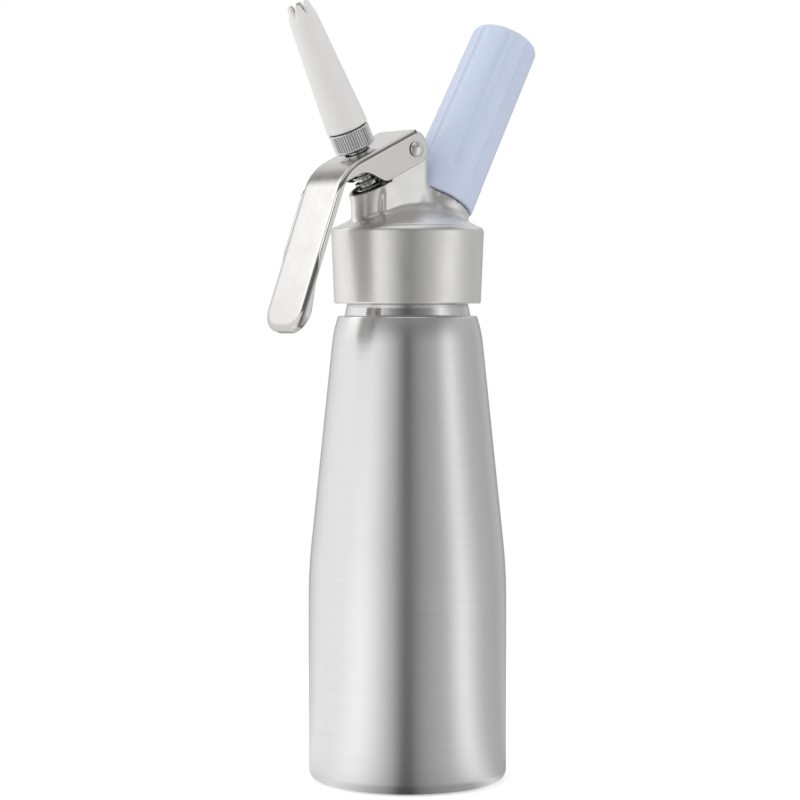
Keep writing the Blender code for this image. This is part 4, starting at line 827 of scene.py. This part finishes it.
# Gas cartridge
# A drawn and zinc-plated steel cartridge, neck down, with a crimped seal at its mouth.
zinc = new_finish("zinc_plate", (0.56, 0.57, 0.58), 0.3, 1.0)
between(zinc, grain(zinc, (300, 300, 300)), (0.52, 0.53, 0.54), (0.61, 0.62, 0.63), "Base Color")
between(zinc, grain(zinc, (90, 90, 90)), 0.25, 0.36, "Roughness")
cartridge = turned("gas_cartridge", [
    (0, 7.8, 0), (4.4, 7.8, 0.8), (4.4, 16.3, 1.2), (8.95, 23.3, 5.0), (8.95, 73.3, 8.6), (0, 73.3, 0)], 96,
    closed=False, axis=charger_line)
dress(cartridge, "cartridge_body", "zinc", zinc, "gas_charger")

# Charger holder
# Pale blue glossy plastic moulded over a zinc liner that carries the thread. Eight shallow round-ended
# flutes run up its sides from a plain ring at its foot.
liner_outline = rounded([
    (10.7, 0.8, 0.1), (11.7, 0.8, 0.1), (11.7, 17.8, 0), (10.25, 17.8, 0), (10.25, 74.6, 1.0),
    (0, 74.6, 0)], closed=False)
liner_inner = rounded([(0, 73.6, 0), (9.25, 73.6, 0.8), (9.25, 16.8, 0), (10.7, 16.8, 0)], closed=False)
liner_rows = np.linspace(16.0, 1.4, 100)
liner_outline = np.concatenate([liner_outline, liner_inner, np.stack([0 * liner_rows + 10.7, liner_rows], 1)])
liner_grid = threaded(turned_grid(liner_outline, 96), 2.6, 15.8, 2.0, -0.35, 1.5, 10.6, 10.8)
liner = skin("holder_liner", on_axis(liner_grid, *charger_line), closed_rows=True)
dress(liner, "holder_body", "zinc", zinc, "holder_insert")

holder_plastic = new_finish("pale_blue_plastic", (0.60, 0.67, 0.82), 0.24, 0.0, Subsurface_Weight=0.2,
                            Specular_IOR_Level=0.5)
holder_shader = holder_plastic.node_tree.nodes["Principled BSDF"]
holder_shader.inputs["Subsurface Radius"].default_value = (0.003, 0.003, 0.005)
between(holder_plastic, grain(holder_plastic, (25, 25, 25)),
        (0.585, 0.655, 0.805), (0.615, 0.685, 0.835), "Base Color")
between(holder_plastic, grain(holder_plastic, (700, 700, 700)), 0.21, 0.28, "Roughness")
relief(holder_plastic, grain(holder_plastic, (60, 60, 60)), 0.00004, 0.2)


def holder_grid(steps=320):
    """The holder's outline carried round its axis, less its flutes.

    A flute is a circular hollow across, 3.7 wide and 0.8 deep, whose foot is a quarter of an ellipse; it
    runs out at the top where the rounded end falls below its floor.
    """
    width, depth, start, turn, length = 3.7, 0.8, 11.5, radians(11.5), 77.4
    wall = resampled(np.array([[15.0 - 1.2 * 1.15 / length, 1.15], [15.0 - 1.2 * 72.8 / length, 72.8]]), 130)
    outer = rounded([(12.3, 0, 0.2), (15.0, 0, 0.8), (15.0 - 1.2 * 40 / length, 40, 0)], closed=False)
    top = rounded([(15.0 - 1.2 * 60 / length, 60, 0), (13.8, length, 4.0), (0, length, 0)], closed=False,
                  turn=radians(3))
    outline = np.concatenate([outer[outer[:, 1] < 1.1], wall, top[top[:, 1] > 72.95],
                              [[0, 74.9], [10.55, 74.9], [10.55, 18.1], [12.3, 18.1], [12.3, 0.2]]])
    grid = turned_grid(outline, steps)
    radius = np.hypot(grid[..., 0], grid[..., 1])
    angle = 2 * pi * np.arange(steps) / steps
    off = (angle - turn + pi / 8) % (pi / 4) - pi / 8
    across = np.abs(off)[None] * 14.5 / (width / 2)
    above = np.clip((start + 1.8 - outline[:, 1, None]) / 1.8, 0, None)
    hollow = depth * np.clip(1 - across ** 2 - above ** 2, 0, 1) ** 0.85
    floor = 15.0 - 1.2 * outline[:, 1, None] / length - hollow
    outer_wall = np.arange(len(outline))[:, None] < len(outline) - 5
    new_radius = np.where(outer_wall & (hollow > 0), np.minimum(radius, floor), radius)
    share = new_radius / np.maximum(radius, 1e-6)
    grid[..., 0] *= share
    grid[..., 1] *= share
    return grid


holder = skin("charger_holder_cap", on_axis(holder_grid(), *charger_line), closed_rows=True,
              sharp=radians(50))
dress(holder, "holder_body", "holder_plastic", holder_plastic, "charger_holder")

# Studio
# A round sheet of white paper for the floor, broad soft lamps at the left, right and above, and an even white
# room. What polished metal shows of the room is its panels, with the darker gaps between them, and where it
# shows the floor close to the object, that floor carries a painted shadow.
room_low = ((-180, 1.0), (-174, 0.8), (-165, 0.35), (-150, 0.75), (-120, 1.0), (-80, 1.0), (-54, 1.2),
            (-38, 1.0), (-14, 0.45), (-5, 0.12), (2, 0.1), (9, 0.28), (20, 0.4), (44, 0.55), (56, 0.9),
            (66, 1.12), (76, 0.85), (92, 0.55), (120, 0.47), (148, 0.58), (165, 0.28), (174, 0.8))
room_middle = ((-180, 0.98), (-150, 0.8), (-138, 0.5), (-127, 0.3), (-120, 1.3), (-114, 1.9), (-90, 1.4),
               (-72, 0.2), (0, 0.12), (75, 0.2), (95, 0.5), (140, 0.85))
room_high = ((-180, 0.95), (-90, 1.05), (-60, 0.8), (-30, 0.7), (40, 0.75), (57, 0.3), (70, 0.25),
             (125, 0.35), (150, 0.85))


def room_light(tree, direction):
    """What a polished surface sees of the room in a direction, as a colour.

    The direction's angle round the upright axis, from the eye's side and growing towards the right of the
    picture, picks the brightness of the wall panels. A second row of panels takes over from 18 to 24 degrees
    up, a third from 40 to 46, and overhead is an even white ceiling.
    """
    nodes, links = tree.nodes, tree.links
    apart = nodes.new("ShaderNodeSeparateXYZ")
    links.new(direction, apart.inputs["Vector"])
    turn = nodes.new("ShaderNodeMath")
    turn.operation = "ARCTAN2"
    links.new(apart.outputs["X"], turn.inputs[0])
    links.new(apart.outputs["Y"], turn.inputs[1])
    shift = nodes.new("ShaderNodeMath")
    shift.operation = "ADD"
    shift.inputs[1].default_value = pi - eye_turn
    links.new(turn.outputs["Value"], shift.inputs[0])
    around = nodes.new("ShaderNodeMath")
    around.operation = "WRAP"
    around.inputs[1].default_value = pi
    around.inputs[2].default_value = -pi
    links.new(shift.outputs["Value"], around.inputs[0])
    span = nodes.new("ShaderNodeMapRange")
    span.inputs["From Min"].default_value = pi
    span.inputs["From Max"].default_value = -pi
    links.new(around.outputs["Value"], span.inputs["Value"])
    rows = []
    for stops in (room_low, room_middle, room_high):
        panels = nodes.new("ShaderNodeValToRGB")
        ramp = panels.color_ramp
        while len(ramp.elements) > 1:
            ramp.elements.remove(ramp.elements[-1])
        for k, (degrees, level) in enumerate(stops + ((180, stops[0][1]),)):
            place = (degrees + 180) / 360
            stop = ramp.elements[0] if k == 0 else ramp.elements.new(place)
            stop.position = place
            stop.color = (level, level, level, 1)
        links.new(span.outputs["Result"], panels.inputs["Fac"])
        rows.append(panels.outputs["Color"])
    for low, high, above in ((sin(radians(18)), sin(radians(24)), rows[1]),
                             (sin(radians(40)), sin(radians(46)), rows[2]),
                             (sin(radians(68)), sin(radians(80)), (0.95, 0.95, 0.95, 1))):
        rise = nodes.new("ShaderNodeMapRange")
        rise.interpolation_type = "SMOOTHSTEP"
        rise.inputs["From Min"].default_value = low
        rise.inputs["From Max"].default_value = high
        links.new(apart.outputs["Z"], rise.inputs["Value"])
        blend = nodes.new("ShaderNodeMix")
        blend.data_type = "RGBA"
        links.new(rise.outputs["Result"], blend.inputs["Factor"])
        links.new(rows[0], blend.inputs["A"])
        if isinstance(above, tuple):
            blend.inputs["B"].default_value = above
        else:
            links.new(above, blend.inputs["B"])
        rows[0] = blend.outputs["Result"]
    return rows[0]


def lamp(name, turn, height, distance, width, tall, watts, colour=(1, 1, 1)):
    """A soft rectangular lamp on a circle round the object, turned from the eye to the left, facing it."""
    light = bpy.data.lights.new(name, "AREA")
    light.shape = "RECTANGLE"
    light.size, light.size_y, light.energy, light.color = width, tall, watts, colour
    where = Vector((-sin(eye_turn + turn), -cos(eye_turn + turn), 0)) * distance
    where.z = height
    stand = bpy.data.objects.new(name, light)
    stand.location = where
    stand.rotation_euler = (where - Vector((0, 0, 0.16))).to_track_quat("Z", "Y").to_euler()
    stand.visible_glossy = False
    bpy.context.scene.collection.objects.link(stand)


lamp("left_panel", radians(80), 0.45, 1.3, 0.8, 1.1, 5.5)
lamp("right_panel", radians(-60), 0.45, 1.3, 0.5, 1.1, 1.8)
lamp("top_panel", radians(20), 1.5, 0.5, 0.8, 0.8, 1.8)

paper = bpy.data.materials.new("white_paper")
paper.use_nodes = True
nodes, links = paper.node_tree.nodes, paper.node_tree.links
nodes.clear()
surface = nodes.new("ShaderNodeOutputMaterial")
matt = nodes.new("ShaderNodeBsdfDiffuse")
matt.inputs["Color"].default_value = (0.85, 0.85, 0.85, 1)
lift = nodes.new("ShaderNodeEmission")
lift.inputs["Color"].default_value = (0.42, 0.42, 0.42, 1)
lifted = nodes.new("ShaderNodeAddShader")
links.new(matt.outputs["BSDF"], lifted.inputs[0])
links.new(lift.outputs["Emission"], lifted.inputs[1])
white = nodes.new("ShaderNodeEmission")
where = nodes.new("ShaderNodeTexCoord")
reach = nodes.new("ShaderNodeVectorMath")
reach.operation = "LENGTH"
links.new(where.outputs["Object"], reach.inputs[0])
edge = nodes.new("ShaderNodeMapRange")
edge.interpolation_type = "SMOOTHSTEP"
edge.inputs["From Min"].default_value = 0.16
edge.inputs["From Max"].default_value = 0.45
links.new(reach.outputs["Value"], edge.inputs["Value"])
seen = nodes.new("ShaderNodeMixShader")
links.new(edge.outputs["Result"], seen.inputs["Fac"])
links.new(lifted.outputs["Shader"], seen.inputs[1])
links.new(white.outputs["Emission"], seen.inputs[2])
# Painted shadow: as seen in polished metal, the floor glows with the room's panels at three quarters strength within
# 4 cm of the object, rising to full strength at 9 cm, so that reflections show a painted shadow round its foot.
near = nodes.new("ShaderNodeMapRange")
near.interpolation_type = "SMOOTHSTEP"
near.inputs["From Min"].default_value = 0.04
near.inputs["From Max"].default_value = 0.09
near.inputs["To Min"].default_value = 0.75
links.new(reach.outputs["Value"], near.inputs["Value"])
floor_gloss_with_painted_shadow = nodes.new("ShaderNodeEmission")
links.new(room_light(paper.node_tree, where.outputs["Object"]), floor_gloss_with_painted_shadow.inputs["Color"])
links.new(near.outputs["Result"], floor_gloss_with_painted_shadow.inputs["Strength"])
path = nodes.new("ShaderNodeLightPath")
for ray, first, second in (("Is Glossy Ray", matt.outputs["BSDF"], floor_gloss_with_painted_shadow.outputs["Emission"]),
                           ("Is Camera Ray", None, seen.outputs["Shader"])):
    choice = nodes.new("ShaderNodeMixShader")
    links.new(path.outputs[ray], choice.inputs["Fac"])
    links.new(first or chosen, choice.inputs[1])
    links.new(second, choice.inputs[2])
    chosen = choice.outputs["Shader"]
links.new(chosen, surface.inputs["Surface"])
angle = 2 * pi * np.arange(96) / 96
rings = np.array([0, 0.1, 0.3, 0.6])[:, None] * 1000
floor = skin("paper_floor", np.stack([
    rings * np.cos(angle), rings * np.sin(angle), 0 * rings * angle - 0.2], -1))
floor.data.materials.append(paper)

room = bpy.data.worlds.new("white_room")
bpy.context.scene.world = room
room.use_nodes = True
nodes, links = room.node_tree.nodes, room.node_tree.links
background = nodes["Background"]
where = nodes.new("ShaderNodeTexCoord")
path = nodes.new("ShaderNodeLightPath")
plain = (0.78, 0.78, 0.78, 1)
for ray, light in (("Is Glossy Ray", room_light(room.node_tree, where.outputs["Generated"])),
                   ("Is Camera Ray", (1, 1, 1, 1)), ("Is Transmission Ray", (1, 1, 1, 1))):
    choice = nodes.new("ShaderNodeMix")
    choice.data_type = "RGBA"
    links.new(path.outputs[ray], choice.inputs["Factor"])
    if isinstance(plain, tuple):
        choice.inputs["A"].default_value = plain
    else:
        links.new(plain, choice.inputs["A"])
    if isinstance(light, tuple):
        choice.inputs["B"].default_value = light
    else:
        links.new(light, choice.inputs["B"])
    plain = choice.outputs["Result"]
links.new(plain, background.inputs["Color"])
background.inputs["Strength"].default_value = 1.0

bpy.context.scene.view_settings.view_transform = "Standard"
